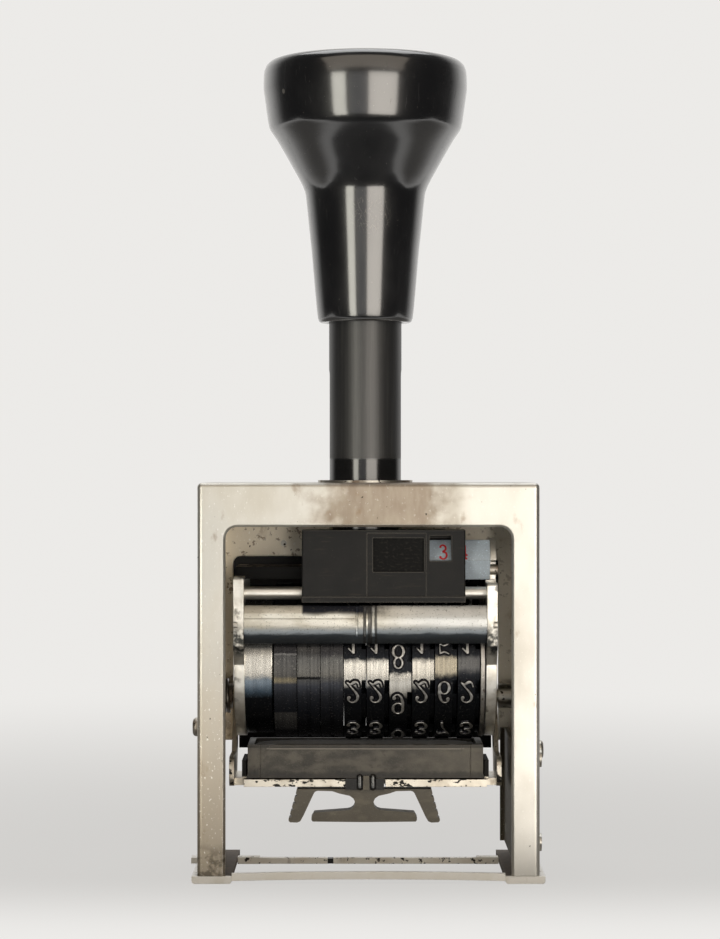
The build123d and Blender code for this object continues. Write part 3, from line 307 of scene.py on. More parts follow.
class Paint:
    """One procedural material; its colour is built up in layers before finish."""

    def __init__(self, name, metallic=0.0, **fixed):
        self.material = bpy.data.materials.new(name)
        self.material.use_nodes = True
        self.tree = self.material.node_tree
        self.shader = self.tree.nodes["Principled BSDF"]
        self.place = self.node("TexCoord").outputs["Object"]
        self.set("Metallic", metallic)
        for socket, value in fixed.items():
            self.set(socket.replace("_", " "), value)

    def node(self, kind, values=None, **settings):
        return add_node(self.tree, kind, values, **settings)

    def set(self, socket, value):
        fill(self.tree, self.shader.inputs[socket], value)

    def noise(self, size, detail, shift=0.0, stretch=(1, 1, 1)):
        """A cloudy pattern with features about size millimetres across; shift moves it along."""
        scale = [1000 / size / s for s in stretch]
        values = {"Vector": self.place, "Scale": scale, "Location": (shift, shift, shift)}
        values = {"Vector": self.node("Mapping", values).outputs[0], "Scale": 1.0, "Detail": detail}
        return self.node("TexNoise", values).outputs["Fac"]

    def spots(self, low, high, *pattern, **stretch):
        """The noise of this pattern, as a smooth step from low to high."""
        return self.between(self.noise(*pattern, **stretch), low, high)

    def axis(self, letter):
        """A coordinate of the object at rest, in metres."""
        return self.node("SeparateXYZ", {"Vector": self.place}).outputs[letter]

    def between(self, value, low, high, start=0.0, end=1.0):
        """value's smooth step from low to high, as start to end."""
        values = {"Value": value, "From Min": low, "From Max": high, "To Min": start, "To Max": end}
        return self.node("MapRange", values, interpolation_type="SMOOTHSTEP").outputs["Result"]

    def step(self, value, low, high):
        """between for a length: value is in metres, low and high are in millimetres."""
        return self.between(value, low * MM, high * MM)

    def math(self, operation, a, b=0.0):
        return self.node("Math", {0: a, 1: b}, operation=operation).outputs[0]

    def times(self, a, b):
        return self.math("MULTIPLY", a, b)

    def plus(self, a, b):
        return self.math("ADD", a, b)

    def minus(self, a, b):
        return self.math("SUBTRACT", a, b)

    def most(self, a, b):
        return self.math("MAXIMUM", a, b)

    def raised(self, start, *shares):
        """start plus a share of each mask, as (mask, share) pairs."""
        for mask, share in shares:
            start = self.plus(self.times(mask, share), start)
        return start

    def off(self, value, middle=0.0):
        """How far value, in metres, lies from middle, in millimetres."""
        return self.math("ABSOLUTE", self.minus(value, middle * MM))

    def rag(self, reach, *pattern):
        """A noise from minus to plus half of reach, which makes an edge ragged."""
        return self.times(self.minus(self.noise(*pattern), 0.5), reach)

    def length(self, x, y, z=0.0):
        """How far (x, y, z) lies from the origin."""
        place = self.node("CombineXYZ", {"X": x, "Y": y, "Z": z})
        return self.node("VectorMath", {0: place.outputs[0]}, operation="LENGTH").outputs["Value"]

    def blend(self, share, a, b):
        """Colour a turning to colour b."""
        a, b = (c if isinstance(c, bpy.types.NodeSocket) else (*c, 1) for c in (a, b))
        return self.node("Mix", {0: share, 6: a, 7: b}, data_type="RGBA").outputs[2]

    def tint(self, mask, shade, strength=1.0):
        """Turns the colour so far to shade, by up to strength, where mask is 1."""
        self.colour = self.blend(self.times(mask, strength), self.colour, shade)

    def ramp(self, value, stops):
        """value through colours, as (position, colour) pairs from low to high."""
        low, high = stops[0][0], stops[-1][0]
        spread = self.node("MapRange", {"Value": value, "From Min": low, "From Max": high})
        made = self.node("ValToRGB", {"Fac": spread.outputs["Result"]})
        bar = made.color_ramp.elements
        for position, colour in stops[1:-1]:
            bar.new((position - low) / (high - low)).color = (*colour, 1)
        bar[0].color = (*stops[0][1], 1)
        bar[-1].color = (*stops[-1][1], 1)
        return made.outputs["Color"]

    def turn(self):
        """The angle round the axle, in degrees: 0 at the front, more below it."""
        down = self.minus(AXLE_Z * MM, self.axis("Z"))
        front = self.times(self.axis("Y"), -1.0)
        return self.times(self.math("ARCTAN2", down, front), 180 / math.pi)

    def rounded(self, radius):
        """The normal with edges rounded by radius millimetres."""
        return self.node("Bevel", {"Radius": radius * MM}, samples=4).outputs["Normal"]

    def edges(self, radius):
        """1 along edges, 0 on open faces."""
        normal = self.node("NewGeometry").outputs["Normal"]
        values = {0: self.rounded(radius), 1: normal}
        dot = self.node("VectorMath", values, operation="DOT_PRODUCT").outputs["Value"]
        return self.between(dot, EDGE_FROM, EDGE_FULL)

    def finish(self, roughness, height, depth, edge=0.12, metallic=None):
        """Joins the colour, roughness and a height, depth millimetres deep, to the shader."""
        self.set("Base Color", self.colour)
        self.set("Roughness", roughness)
        if metallic is not None:
            self.set("Metallic", metallic)
        values = {"Height": height, "Distance": depth * MM, "Normal": self.rounded(edge)}
        self.set("Normal", self.node("Bump", values).outputs[0])
        return self.material


def plated(name, bright, dull, stain, stain_from, pit_from, roughness, metallic=1.0):
    """Nickel or steel with dull clouds, brown stains and black pits."""
    paint = Paint(name, metallic=metallic)
    clouds = paint.spots(0.35, 0.68, 7, 5)
    stains = paint.spots(stain_from, stain_from + 0.14, 5, 6, 3.0, (1, 1, 1.6))
    pits = paint.spots(pit_from, pit_from + 0.05, 0.9, 3, 9.0)
    specks = paint.spots(0.62, 0.72, 0.45, 2, 5.0, (1, 1, 1.5))
    paint.colour = paint.blend(clouds, bright, dull)
    paint.tint(specks, (0.95, 0.93, 0.88), 0.35)
    paint.tint(stains, stain, 0.75)
    paint.tint(pits, (0.03, 0.022, 0.016))
    rough = paint.raised(roughness, (clouds, 0.12), (stains, 0.2), (pits, 0.3))
    metal = paint.times(paint.minus(1.0, pits), metallic)
    height = paint.minus(paint.times(clouds, 0.25), pits)
    return paint.finish(rough, height, 0.03, metallic=metal)


def plastic(name, colour, worn, worn_from, roughness, sheen=0.35, scuffed=0.45):
    """Moulded plastic with scuffs and dust, paler along its edges."""
    paint = Paint(name, Specular_IOR_Level=sheen)
    scuffs = paint.spots(worn_from, worn_from + 0.2, 1.6, 7, stretch=(2.5, 1, 1))
    rubbed = paint.times(paint.edges(0.3), 0.5)
    wear = paint.most(paint.times(scuffs, scuffed), rubbed)
    fine = paint.noise(0.3, 4, 2.0)
    dust = paint.spots(0.68, 0.75, 0.4, 2, 6.0)
    paint.colour = paint.blend(paint.noise(5, 6), colour, [1.6 * c for c in colour])
    paint.tint(paint.between(fine, 0.55, 0.8), [2.2 * c for c in colour])
    paint.tint(wear, worn)
    paint.tint(dust, worn, 0.6)
    rough = paint.raised(roughness, (wear, 0.15))
    return paint.finish(rough, fine, 0.03)


# The slider's label recess, its floor painted darker as shade with grime specks: where its floor starts in
# depth, and the sides of its opening, each as (axis, where the darkening starts, where it is full).
RECESS_DEPTH = (-17.2, -16.7)
RECESS_SIDES = (("X", 0.8, 1.0), ("X", 11.3, 11.1), ("Z", 62.2, 62.4), ("Z", 69.2, 69.0))


def slider_black(name):
    """The slider's dull black, with a darker floor in its label recess: painted shade with grime specks."""
    paint = Paint(name, Specular_IOR_Level=0.14)
    scratches = paint.spots(0.6, 0.72, 0.6, 5, stretch=(9, 1, 1))
    dust = paint.spots(0.66, 0.74, 0.35, 2, 6.0)
    rubbed = paint.times(paint.edges(0.35), 0.75)
    clouds = paint.noise(5, 6)
    paint.colour = paint.blend(clouds, (0.014, 0.0145, 0.016), (0.03, 0.0295, 0.029))
    paint.tint(scratches, (0.07, 0.06, 0.045), 0.3)
    paint.tint(dust, (0.1, 0.09, 0.08), 0.35)
    paint.tint(rubbed, (0.16, 0.15, 0.135))
    recess = paint.step(paint.axis("Y"), *RECESS_DEPTH)
    for letter, edge, inside in RECESS_SIDES:
        recess = paint.times(recess, paint.step(paint.axis(letter), edge, inside))
    specks = paint.spots(0.5, 0.75, 0.4, 5, stretch=(2, 1, 1))
    # the recess floor's colour: painted shade, speckled with grime
    grime_and_shade = paint.blend(specks, (0.001, 0.001, 0.001), (0.022, 0.02, 0.016))
    paint.tint(recess, grime_and_shade)
    rough = paint.raised(0.38, (clouds, 0.15))
    return paint.finish(rough, dust, 0.02)


CHIP = (-17.3, -12.6, 159.6)  # the pale chip on the knob's left edge
SCRATCHED = (0.9, -12.2, 134.8)  # the curled scratches on its cone


def near_spot(paint, spot, full, gone):
    """1 within full millimetres of a spot, falling to 0 at gone."""
    spot = [MM * value for value in spot]
    away = paint.node("VectorMath", {0: paint.place, 1: spot}, operation="DISTANCE").outputs["Value"]
    return paint.step(paint.plus(away, paint.rag(full * MM, 0.5, 3)), gone, full)


# The lower, upper and front limits of the cheeks' mottled painted shade beside the front bar, each as
# (where it starts, where it is full).
MOTTLE_FOOT, MOTTLE_TOP, MOTTLE_FRONT = (44.6, 46.4), (53, 49.5), (-8, -13)


def cheek_steel(name):
    """The carriage's cheeks: pale cast metal, with dark, mottled painted shade beside the front bar's foot.
    """
    paint = Paint(name, metallic=0.9)
    tone = paint.spots(0.35, 0.65, 2.2, 6, 2.0)
    paint.colour = paint.blend(tone, (0.92, 0.9, 0.84), (0.72, 0.69, 0.62))
    z = paint.axis("Z")
    band = paint.times(paint.step(z, *MOTTLE_FOOT), paint.step(z, *MOTTLE_TOP))
    front = paint.step(paint.axis("Y"), *MOTTLE_FRONT)
    # painted shade under the front bar, broken up by noise
    mottle = paint.between(paint.noise(1.3, 5, 4.0), 0.34, 0.56, 0.35, 1.0)
    mottle = paint.times(mottle, paint.times(band, front))
    patches = paint.spots(0.58, 0.7, 3, 7, 6.0)
    dark = paint.most(mottle, paint.times(patches, 0.7))
    paint.tint(dark, (0.05, 0.052, 0.05))
    rough = paint.between(dark, 0, 1, 0.3, 0.48)
    return paint.finish(rough, tone, 0.03, edge=0.3)


def gloss_black(name):
    """Polished black plastic with hairline scratches, smears and dust."""
    paint = Paint(name, IOR=1.5, Coat_Weight=1.0, Coat_Roughness=0.14, Coat_IOR=2.0)
    hairlines = paint.spots(0.64, 0.72, 0.5, 3, stretch=(1, 1, 14))
    curl = paint.noise(0.7, 1, 11.0, (1, 1, 2.2))
    curls = paint.times(paint.between(curl, 0.5, 0.53), paint.between(curl, 0.56, 0.53))
    curls = paint.times(curls, near_spot(paint, SCRATCHED, 2.6, 5.0))
    scratches = paint.most(hairlines, curls)
    smears = paint.spots(0.42, 0.7, 9, 5, 6.0, (1, 1, 1.5))
    dust = paint.spots(0.74, 0.8, 0.5, 1, 8.0)
    paint.colour = paint.blend(smears, (0.004, 0.004, 0.0055), (0.009, 0.009, 0.0105))
    paint.tint(dust, (0.07, 0.065, 0.06))
    paint.tint(curls, (0.3, 0.27, 0.24), 0.5)
    paint.tint(near_spot(paint, CHIP, 0.35, 0.6), (0.16, 0.155, 0.145))
    rough = paint.raised(0.3, (smears, 0.12), (scratches, 0.25))
    return paint.finish(rough, scratches, 0.012, edge=0.2)


RUBBED_FROM = (84.6, 85.6)  # the height where the tube turns from glossy to rubbed


def rubbed_stem(name):
    """Black tube, rubbed matte and streaked above its glossy foot."""
    paint = Paint(name, IOR=1.9)
    rubbed = paint.step(paint.axis("Z"), *RUBBED_FROM)
    streaks = paint.noise(0.7, 4, stretch=(1, 1, 30))
    fine = paint.spots(0.45, 0.75, 0.35, 3, 3.0, (1, 1, 60))
    paint.colour = paint.blend(streaks, (0.006, 0.0065, 0.008), (0.022, 0.022, 0.022))
    paint.tint(fine, (0.07, 0.07, 0.066), 0.35)
    paint.colour = paint.blend(rubbed, (0.006, 0.006, 0.006), paint.colour)
    rough = paint.between(rubbed, 0, 1, 0.16, 0.42)
    return paint.finish(rough, streaks, 0.01)


def turned_steel(name, stops, dim, metallic=0.9, ragged=6.0):
    """A turned part, finely streaked; its colour round the axle is given as (degrees, colour) pairs and
    paints its highlights, reflections and shade.
    """
    paint = Paint(name, metallic=metallic)
    # painted highlights, reflections and shade, fixed to the angle round the axle
    paint.colour = paint.ramp(paint.plus(paint.turn(), paint.rag(ragged, 1.1, 4)), stops)
    streaks = paint.times(paint.spots(0.3, 0.72, 0.5, 4, 7.0, (1, 40, 40)), dim)
    paint.tint(streaks, (0.02, 0.02, 0.024))
    specks = paint.spots(0.62, 0.72, 0.4, 2, 5.0)
    paint.tint(specks, (0.5, 0.48, 0.44), 0.12)
    rough = paint.between(specks, 0, 1, 0.26, 0.42)
    return paint.finish(rough, streaks, 0.01)


INK_DEPTHS = (0.16, 0.05)  # below the type's face: where the ink ends, and where it is bare


def figure_steel(name):
    """Type: silver on its faces, ink on the flanks and round the foot."""
    paint = Paint(name, metallic=0.9)
    radius = paint.length(0.0, paint.axis("Y"), paint.minus(paint.axis("Z"), AXLE_Z * MM))
    face = paint.step(radius, *(FACE_RADIUS - depth for depth in INK_DEPTHS))
    tone = paint.spots(0.36, 0.7, 0.9, 5, 2.0)
    silver = paint.blend(tone, (0.5, 0.49, 0.47), (0.2, 0.195, 0.19))
    paint.colour = paint.blend(face, (0.012, 0.012, 0.015), silver)
    rough = paint.between(tone, 0, 1, 0.3, 0.45)
    return paint.finish(rough, tone, 0.02, edge=0.06)


def felt(name):
    """Ink-soaked felt: short fibres, darker where the ink sits."""
    paint = Paint(name, Sheen_Weight=0.25, Sheen_Roughness=0.6)
    fibres = paint.noise(0.25, 4, stretch=(1, 2.5, 1))
    soaked = paint.spots(0.35, 0.7, 5, 4, 2.0)
    paint.colour = paint.blend(soaked, (0.012, 0.012, 0.02), (0.04, 0.04, 0.055))
    paint.tint(paint.between(fibres, 0.5, 0.8), (0.08, 0.08, 0.1))
    return paint.finish(0.85, fibres, 0.12)


# Parts of the frame, each as (where it starts, where it is full); the right side and the lower left post
# take painted shade.
INSIDE_DEPTH, INSIDE_HALF, INSIDE_TOP = (-18.9, -18.4), (33.8, 33.4), (79.6, 79.2)
RIGHT_SHADE, LEFT_SIDE, LOWER_POST, POST_FOOT = (12, 30), (-20, -28), (60, 10), (9, 4.5)
WORN_MIDDLE, WORN_REACH, WORN_HEIGHT = 3, (17.5, 7), (68, 72)


def frame_nickel(name):
    """Bright nickel: dull clouds, white specks painted as glints, black pits, brown where it is rubbed
    through; painted highlights along its edges and painted shade on its right side and lower left post.
    """
    paint = Paint(name, metallic=0.85)
    x, z = paint.axis("X"), paint.axis("Z")
    clouds = paint.spots(0.38, 0.7, 8, 6, stretch=(1, 1, 2))
    paint.colour = paint.blend(clouds, (0.8, 0.785, 0.73), (0.66, 0.635, 0.57))
    inside = paint.step(paint.axis("Y"), *INSIDE_DEPTH)
    inside = paint.times(inside, paint.step(paint.off(x), *INSIDE_HALF))
    inside = paint.times(inside, paint.step(z, *INSIDE_TOP))
    paint.tint(inside, (0.72, 0.64, 0.5), 0.8)
    rust = paint.spots(0.6, 0.68, 1.1, 3, 12.0)
    rust = paint.times(rust, inside)
    paint.tint(rust, (0.12, 0.07, 0.035), 0.7)
    # painted shade: greyer towards the frame's right side
    right = paint.step(x, *RIGHT_SHADE)
    paint.tint(right, (0.58, 0.56, 0.52), 0.5)
    left = paint.step(x, *LEFT_SIDE)
    # painted shade: the lower part of the left post turned darker brown
    lower_left_shade = paint.times(paint.times(paint.step(z, *LOWER_POST), left), 0.8)
    paint.tint(lower_left_shade, (0.4, 0.33, 0.24))
    reach = paint.plus(paint.off(x, WORN_MIDDLE), paint.rag(20 * MM, 4, 6, 4.0))
    worn = paint.step(reach, *WORN_REACH)
    worn = paint.times(worn, paint.step(z, *WORN_HEIGHT))
    brown = paint.blend(paint.noise(1.6, 6, stretch=(1, 1, 3)), (0.5, 0.44, 0.36), (0.22, 0.15, 0.1))
    paint.tint(worn, brown, 0.92)
    stains = paint.spots(0.62, 0.74, 4, 7, 3.0, (1, 1, 1.6))
    paint.tint(stains, (0.3, 0.21, 0.13), 0.6)
    # white specks, strongest on the left post: painted glints on small dents
    specks = paint.spots(0.62, 0.72, 0.5, 2, 5.0, (1, 1, 1.5))
    specks = paint.times(specks, paint.between(left, 0, 1, 0.25, 0.8))
    paint.tint(specks, (0.97, 0.96, 0.93))
    # painted highlight: a pale line along the edges
    edge_highlights = paint.times(paint.edges(0.35), 0.6)
    paint.tint(edge_highlights, (0.95, 0.93, 0.87))
    pits = paint.spots(0.7, 0.73, 0.8, 4, 9.0)
    blots = paint.spots(0.42, 0.6, 1.6, 5, 14.0)
    grime_and_shade = paint.times(paint.step(z, *POST_FOOT), paint.times(left, blots))
    dark = paint.most(pits, paint.times(grime_and_shade, 0.6))
    paint.tint(dark, (0.03, 0.028, 0.02))
    rough = paint.raised(0.3, (clouds, 0.1), (worn, 0.14), (dark, 0.3))
    height = paint.minus(paint.times(clouds, 0.2), pits)
    return paint.finish(rough, height, 0.03, edge=0.3)


# the feet's painted shade with rust, as (where it starts, where it is full)
FOOT_BACK, FOOT_INNER = (-19.6, -18.4), (35, 33.5)  # where the feet's rust starts and is full


def foot_steel(name):
    """The feet: bright nickel in front; where they run back under the frame, painted shade with rust-brown
    noise.
    """
    paint = Paint(name)
    tone = paint.spots(0.35, 0.7, 3, 6)
    paint.colour = paint.blend(tone, (0.97, 0.95, 0.9), (0.86, 0.83, 0.76))
    rag = paint.rag(3 * MM, 2, 5, 3.0)
    back = paint.step(paint.plus(paint.axis("Y"), rag), *FOOT_BACK)
    inner = paint.step(paint.plus(paint.off(paint.axis("X")), rag), *FOOT_INNER)
    # painted shade with rust: where the feet run back in under the frame
    grime_and_shade = paint.times(back, inner)
    rust = paint.blend(paint.noise(1.4, 5, 7.0), (0.02, 0.018, 0.015), (0.16, 0.1, 0.055))
    paint.tint(grime_and_shade, rust, 0.92)
    rough = paint.between(grime_and_shade, 0, 1, 0.32, 0.7)
    metal = paint.between(grime_and_shade, 0, 1, 0.25, 0.1)
    return paint.finish(rough, tone, 0.02, metallic=metal)


# The cassette's paler right, the painted shadow along its foot, painted shade along its top rim, and the
# painted highlight along the rim, each as (where it starts, where it is full).
CASSETTE_RIGHT, FOOT_SHADOW, RIM_SHADE = (2, 18), (21.7, 20.7), (26.1, 26.2)
RIM_LINE_LOW, RIM_LINE_TOP, RIM_LINE_HALF = (25.8, 25.95), (26.15, 26.1), (20.3, 20)


def cassette_plastic(name):
    """The cassette: grey-brown, paler to the right, with painted shadow along its foot, painted shade along
    its top rim and a painted highlight line below the rim.
    """
    paint = Paint(name, Specular_IOR_Level=0.4)
    x, z = paint.axis("X"), paint.axis("Z")
    clouds = paint.spots(0.34, 0.68, 2, 8, stretch=(1.8, 1, 1))
    paint.colour = paint.blend(clouds, (0.044, 0.04, 0.033), (0.135, 0.124, 0.103))
    smudges = paint.spots(0.5, 0.72, 0.9, 5, 9.0, (1.3, 1, 1))
    paint.tint(smudges, (0.018, 0.017, 0.015), 0.5)
    right = paint.times(paint.step(x, *CASSETTE_RIGHT), paint.noise(2.5, 5, 3.0))
    paint.tint(right, (0.17, 0.155, 0.125))
    grain = paint.spots(0.5, 0.8, 0.35, 4, 2.0)
    paint.tint(grain, (0.19, 0.17, 0.14), 0.3)
    # painted shadow along the foot and painted shade along the top rim
    foot = paint.step(paint.plus(z, paint.rag(1.6 * MM, 1.2, 6, 5.0)), *FOOT_SHADOW)
    shade_bands = paint.times(paint.most(foot, paint.step(z, *RIM_SHADE)), 0.7)
    paint.tint(shade_bands, (0.016, 0.015, 0.014))
    # a painted highlight: a pale line along the ridge below the rim, joined with paler worn edges
    line = paint.times(paint.step(z, *RIM_LINE_LOW), paint.step(z, *RIM_LINE_TOP))
    line = paint.times(line, paint.step(paint.off(x, WORKS_X), *RIM_LINE_HALF))
    wear = paint.most(paint.times(line, 0.8), paint.times(paint.edges(0.3), 0.35))
    paint.tint(wear, (0.25, 0.23, 0.2))
    rough = paint.between(clouds, 0, 1, 0.38, 0.5)
    return paint.finish(rough, grain, 0.03)


# Where the tray's pits thin out behind its front lips, and the inky place under the cassette,
# each as (where it starts, where it is full).
FEWER_PITS, INKY_HALF, INKY_HEIGHT = (-8.9, -8.4), (26.4, 26.1), (19.8, 20.1)


def tray_steel(name):
    """The pad tray: tarnished nickel, pitted along its lips and inky where the cassette sits."""
    paint = Paint(name, metallic=0.9)
    clouds = paint.spots(0.38, 0.66, 6, 5)
    paint.colour = paint.blend(clouds, (0.84, 0.79, 0.69), (0.6, 0.55, 0.46))
    stains = paint.spots(0.56, 0.7, 3, 6, 3.0)
    paint.tint(stains, (0.24, 0.17, 0.1), 0.6)
    fewer = paint.times(paint.step(paint.axis("Y"), *FEWER_PITS), 0.1)
    pits = paint.between(paint.minus(paint.noise(0.8, 4, 9.0, (1.6, 1, 1)), fewer), 0.56, 0.6)
    inky = paint.step(paint.off(paint.axis("X"), WORKS_X), *INKY_HALF)
    inky = paint.times(inky, paint.step(paint.axis("Z"), *INKY_HEIGHT))
    dark = paint.most(pits, inky)
    paint.tint(dark, (0.02, 0.018, 0.016))
    rough = paint.between(dark, 0, 1, 0.32, 0.6)
    metal = paint.minus(0.9, paint.times(dark, 0.7))
    return paint.finish(rough, pits, 0.03, metallic=metal)


# Bands of painted reflection, shade and shadow on the carriage's front bar, each as (where it starts, where
# it is full).
BAR_BLUE_REFLECTION, BAR_EDGE_REFLECTION, BAR_UNDER_SHADE = (-2, 14), (52.2, 50.9), (50.9, 50.3)
SLIDER_SHADOW, SHADOW_HEIGHT, SHADOW_LEFT = (9, -6), (53.8, 55.2), (-13.6, -13)
# The upright grooves near the bar's middle, painted dark as shade, as (x, half width), and the width of
# their soft edges.
BAR_GROOVES = ((-0.8, 0.22), (0.3, 0.4), (1.5, 0.18))
GROOVE_EDGE = 0.12


def bar_steel(name):
    """The carriage's front bar: bright and cloudy above, with a painted blue-grey reflection on its right
    half and lower edge, painted shade beneath, a painted shadow of the slider along its top and painted
    shade in its grooves.
    """
    paint = Paint(name, metallic=0.9)
    x = paint.axis("X")
    clouds = paint.spots(0.4, 0.66, 4, 6, stretch=(2.5, 1, 1))
    paint.colour = paint.blend(clouds, (0.8, 0.78, 0.71), (0.5, 0.47, 0.4))
    # painted reflection: the right half turned blue-grey
    blue_reflection = paint.step(x, *BAR_BLUE_REFLECTION)
    paint.tint(blue_reflection, (0.56, 0.59, 0.62), 0.6)
    height = paint.plus(paint.axis("Z"), paint.times(paint.noise(1.5, 4, stretch=(3, 1, 1)), 1.2 * MM))
    # a painted blue-grey reflection along the lower edge, and painted shade under it
    paint.tint(paint.step(height, *BAR_EDGE_REFLECTION), (0.4, 0.44, 0.47))
    paint.tint(paint.step(height, *BAR_UNDER_SHADE), (0.085, 0.098, 0.112))
    # a painted shadow of the slider along the bar's top edge, fading out to the right
    grime_and_shade = paint.plus(paint.step(x, *SLIDER_SHADOW), paint.rag(0.5, 0.9, 5, 3.0))
    grime_and_shade = paint.between(grime_and_shade, 0.1, 0.8)
    grime_and_shade = paint.times(grime_and_shade, paint.step(height, *SHADOW_HEIGHT))
    grime_and_shade = paint.times(grime_and_shade, paint.step(x, *SHADOW_LEFT))
    paint.tint(grime_and_shade, (0.02, 0.022, 0.03))
    # painted shade in the upright grooves
    for middle, half in BAR_GROOVES:
        groove = paint.times(paint.step(paint.off(x, middle), half + GROOVE_EDGE, half), 0.8)
        paint.tint(groove, (0.05, 0.05, 0.05))
    specks = paint.spots(0.6, 0.7, 0.35, 2, 5.0)
    paint.tint(specks, (0.12, 0.115, 0.1), 0.5)
    rough = paint.between(clouds, 0, 1, 0.3, 0.42)
    return paint.finish(rough, specks, 0.015, edge=0.3)


# Painted light and shade round the axle, as (degrees, colour): 0 faces the camera, more is lower; the bands
# turn with the part.
# Cream and pale grey are painted highlights where the front lights reflect, blue-grey is a painted
# reflection below them, gold is a painted highlight on the pawl ring, the grey above is painted shade under
# the front bar, and the dark below is painted shade, with ink on the type wheels.
HIGHLIGHT_CREAM, BLUE_REFLECTION, INK_AND_SHADE = (0.86, 0.83, 0.76), (0.11, 0.16, 0.22), (0.014, 0.016, 0.02)
HUB_STOPS = [
    (-40, (0.2, 0.2, 0.2)), (-12, (0.3, 0.3, 0.29)), (-7, HIGHLIGHT_CREAM), (8, HIGHLIGHT_CREAM), (12, (0.3, 0.36, 0.42)),
    (22, BLUE_REFLECTION), (27, INK_AND_SHADE), (60, INK_AND_SHADE),
]
# a painted highlight on the pawl ring
GOLD_HIGHLIGHT = (0.36, 0.31, 0.21)
PAWL_STOPS = [
    (-40, (0.04, 0.04, 0.045)), (-8.6, (0.05, 0.05, 0.055)), (-8.4, (0.3, 0.3, 0.3)),
    (-7.4, (0.3, 0.3, 0.3)), (-7, (0.14, 0.14, 0.14)), (8.5, (0.16, 0.155, 0.145)), (10.5, GOLD_HIGHLIGHT),
    (12, GOLD_HIGHLIGHT), (14.5, (0.06, 0.065, 0.08)), (38, (0.014, 0.017, 0.025)), (39, (0.12, 0.12, 0.12)),
    (58, (0.1, 0.1, 0.1)), (62, (0.02, 0.02, 0.022)),
]
REPEAT_STOPS = [
    (-40, (0.05, 0.05, 0.055)), (-8, (0.09, 0.09, 0.09)), (-4, (0.16, 0.16, 0.155)),
    (8.6, (0.2, 0.195, 0.18)), (9.2, (0.01, 0.01, 0.01)), (10.4, (0.01, 0.01, 0.01)),
    (11, (0.12, 0.12, 0.12)), (16, (0.06, 0.065, 0.08)), (38, (0.014, 0.017, 0.025)),
    (60, (0.02, 0.02, 0.022)),
]
RING_STOPS = [
    (-40, (0.05, 0.05, 0.055)), (-8, (0.06, 0.06, 0.065)), (-4, (0.16, 0.16, 0.155)),
    (8, (0.2, 0.195, 0.18)), (14, (0.07, 0.075, 0.09)), (38, (0.016, 0.019, 0.027)),
    (60, (0.02, 0.02, 0.022)),
]
RAMP_LOW, RAMP_HIGH = -40, 60  # the first and last degree of a number wheel's colours
# a wheel's band is a painted highlight; these say how far it fades into the ink round it
BAND_SOFT, BAND_TAIL = 2, 3  # how far a bare band fades into the ink round it
# Each number wheel's painted highlight band between its inky parts, as (first degree, last degree, colour).
WHEEL_BANDS = {
    1: (-3, 15, HIGHLIGHT_CREAM),
    2: (-3, 15, HIGHLIGHT_CREAM),
    3: (7, 23, HIGHLIGHT_CREAM),
    4: (-3, 15, (0.7, 0.67, 0.6)),
    5: (-6, 7, (0.4, 0.36, 0.28)),
    6: (-6, 4, (0.1, 0.1, 0.1)),
}

# What plated, plastic and turned_steel are given for each of their materials.
METALS = {
    "worn_steel": ((0.66, 0.64, 0.58), (0.46, 0.43, 0.38), (0.2, 0.12, 0.07), 0.52, 0.62, 0.28),
    "spring_steel": ((0.5, 0.5, 0.5), (0.36, 0.36, 0.37), (0.16, 0.12, 0.09), 0.66, 0.7, 0.25),
    "brass": ((0.72, 0.55, 0.28), (0.52, 0.38, 0.18), (0.16, 0.1, 0.05), 0.62, 0.7, 0.25),
    "wheel_steel": ((0.5, 0.48, 0.44), (0.3, 0.29, 0.27), (0.05, 0.05, 0.05), 0.5, 0.6, 0.3),
    "rod_steel": ((0.96, 0.95, 0.91), (0.8, 0.78, 0.73), (0.24, 0.18, 0.12), 0.66, 0.72, 0.34),
    "clean_trim": ((1.0, 0.98, 0.93), (0.92, 0.89, 0.82), (0.7, 0.62, 0.5), 0.64, 0.76, 0.32, 0.2),
    "rusty_steel": ((0.96, 0.92, 0.83), (0.8, 0.73, 0.62), (0.16, 0.09, 0.05), 0.62, 0.6, 0.36, 0.3),
}
PLASTICS = {
    "black_cover": ((0.012, 0.012, 0.012), (0.09, 0.08, 0.07), 0.66, 0.35),
    "olive_plastic": ((0.1, 0.091, 0.074), (0.24, 0.215, 0.17), 0.5, 0.5),
    "olive_plate": ((0.062, 0.05, 0.03), (0.6, 0.54, 0.44), 0.62, 0.42, 0.35, 0.2),
    "scale_grey": ((0.36, 0.42, 0.48), (0.25, 0.24, 0.22), 0.6, 0.4),
    # near-black: painted shade inside the works, given to the detent bar, the carriage bridge and the tray
    # web
    "dark_steel": ((0.004, 0.004, 0.004), (0.02, 0.018, 0.015), 0.66, 0.5, 0.1),
    "scale_red": ((0.5, 0.03, 0.035), (0.45, 0.15, 0.13), 0.62, 0.45),
}
TURNINGS = {
    "hub_steel": (HUB_STOPS, 0.25),
    "pawl_ring_steel": (PAWL_STOPS, 0.5, 0.8, 1.5),
    "repeat_ring_1_steel": (REPEAT_STOPS, 0.5, 0.8, 1.0),
    "repeat_ring_2_steel": (RING_STOPS, 0.5, 0.8),
}
SINGLE_LOOKS = {
    "nickel_frame": frame_nickel,
    "black_gloss": gloss_black,
    "black_stem": rubbed_stem,
    "ink_felt": felt,
    "figure_steel": figure_steel,
    "cheek_steel": cheek_steel,
    "foot_steel": foot_steel,
    "bar_steel": bar_steel,
    "cassette_plastic": cassette_plastic,
    "tray_steel": tray_steel,
    "slider_black": slider_black,
}
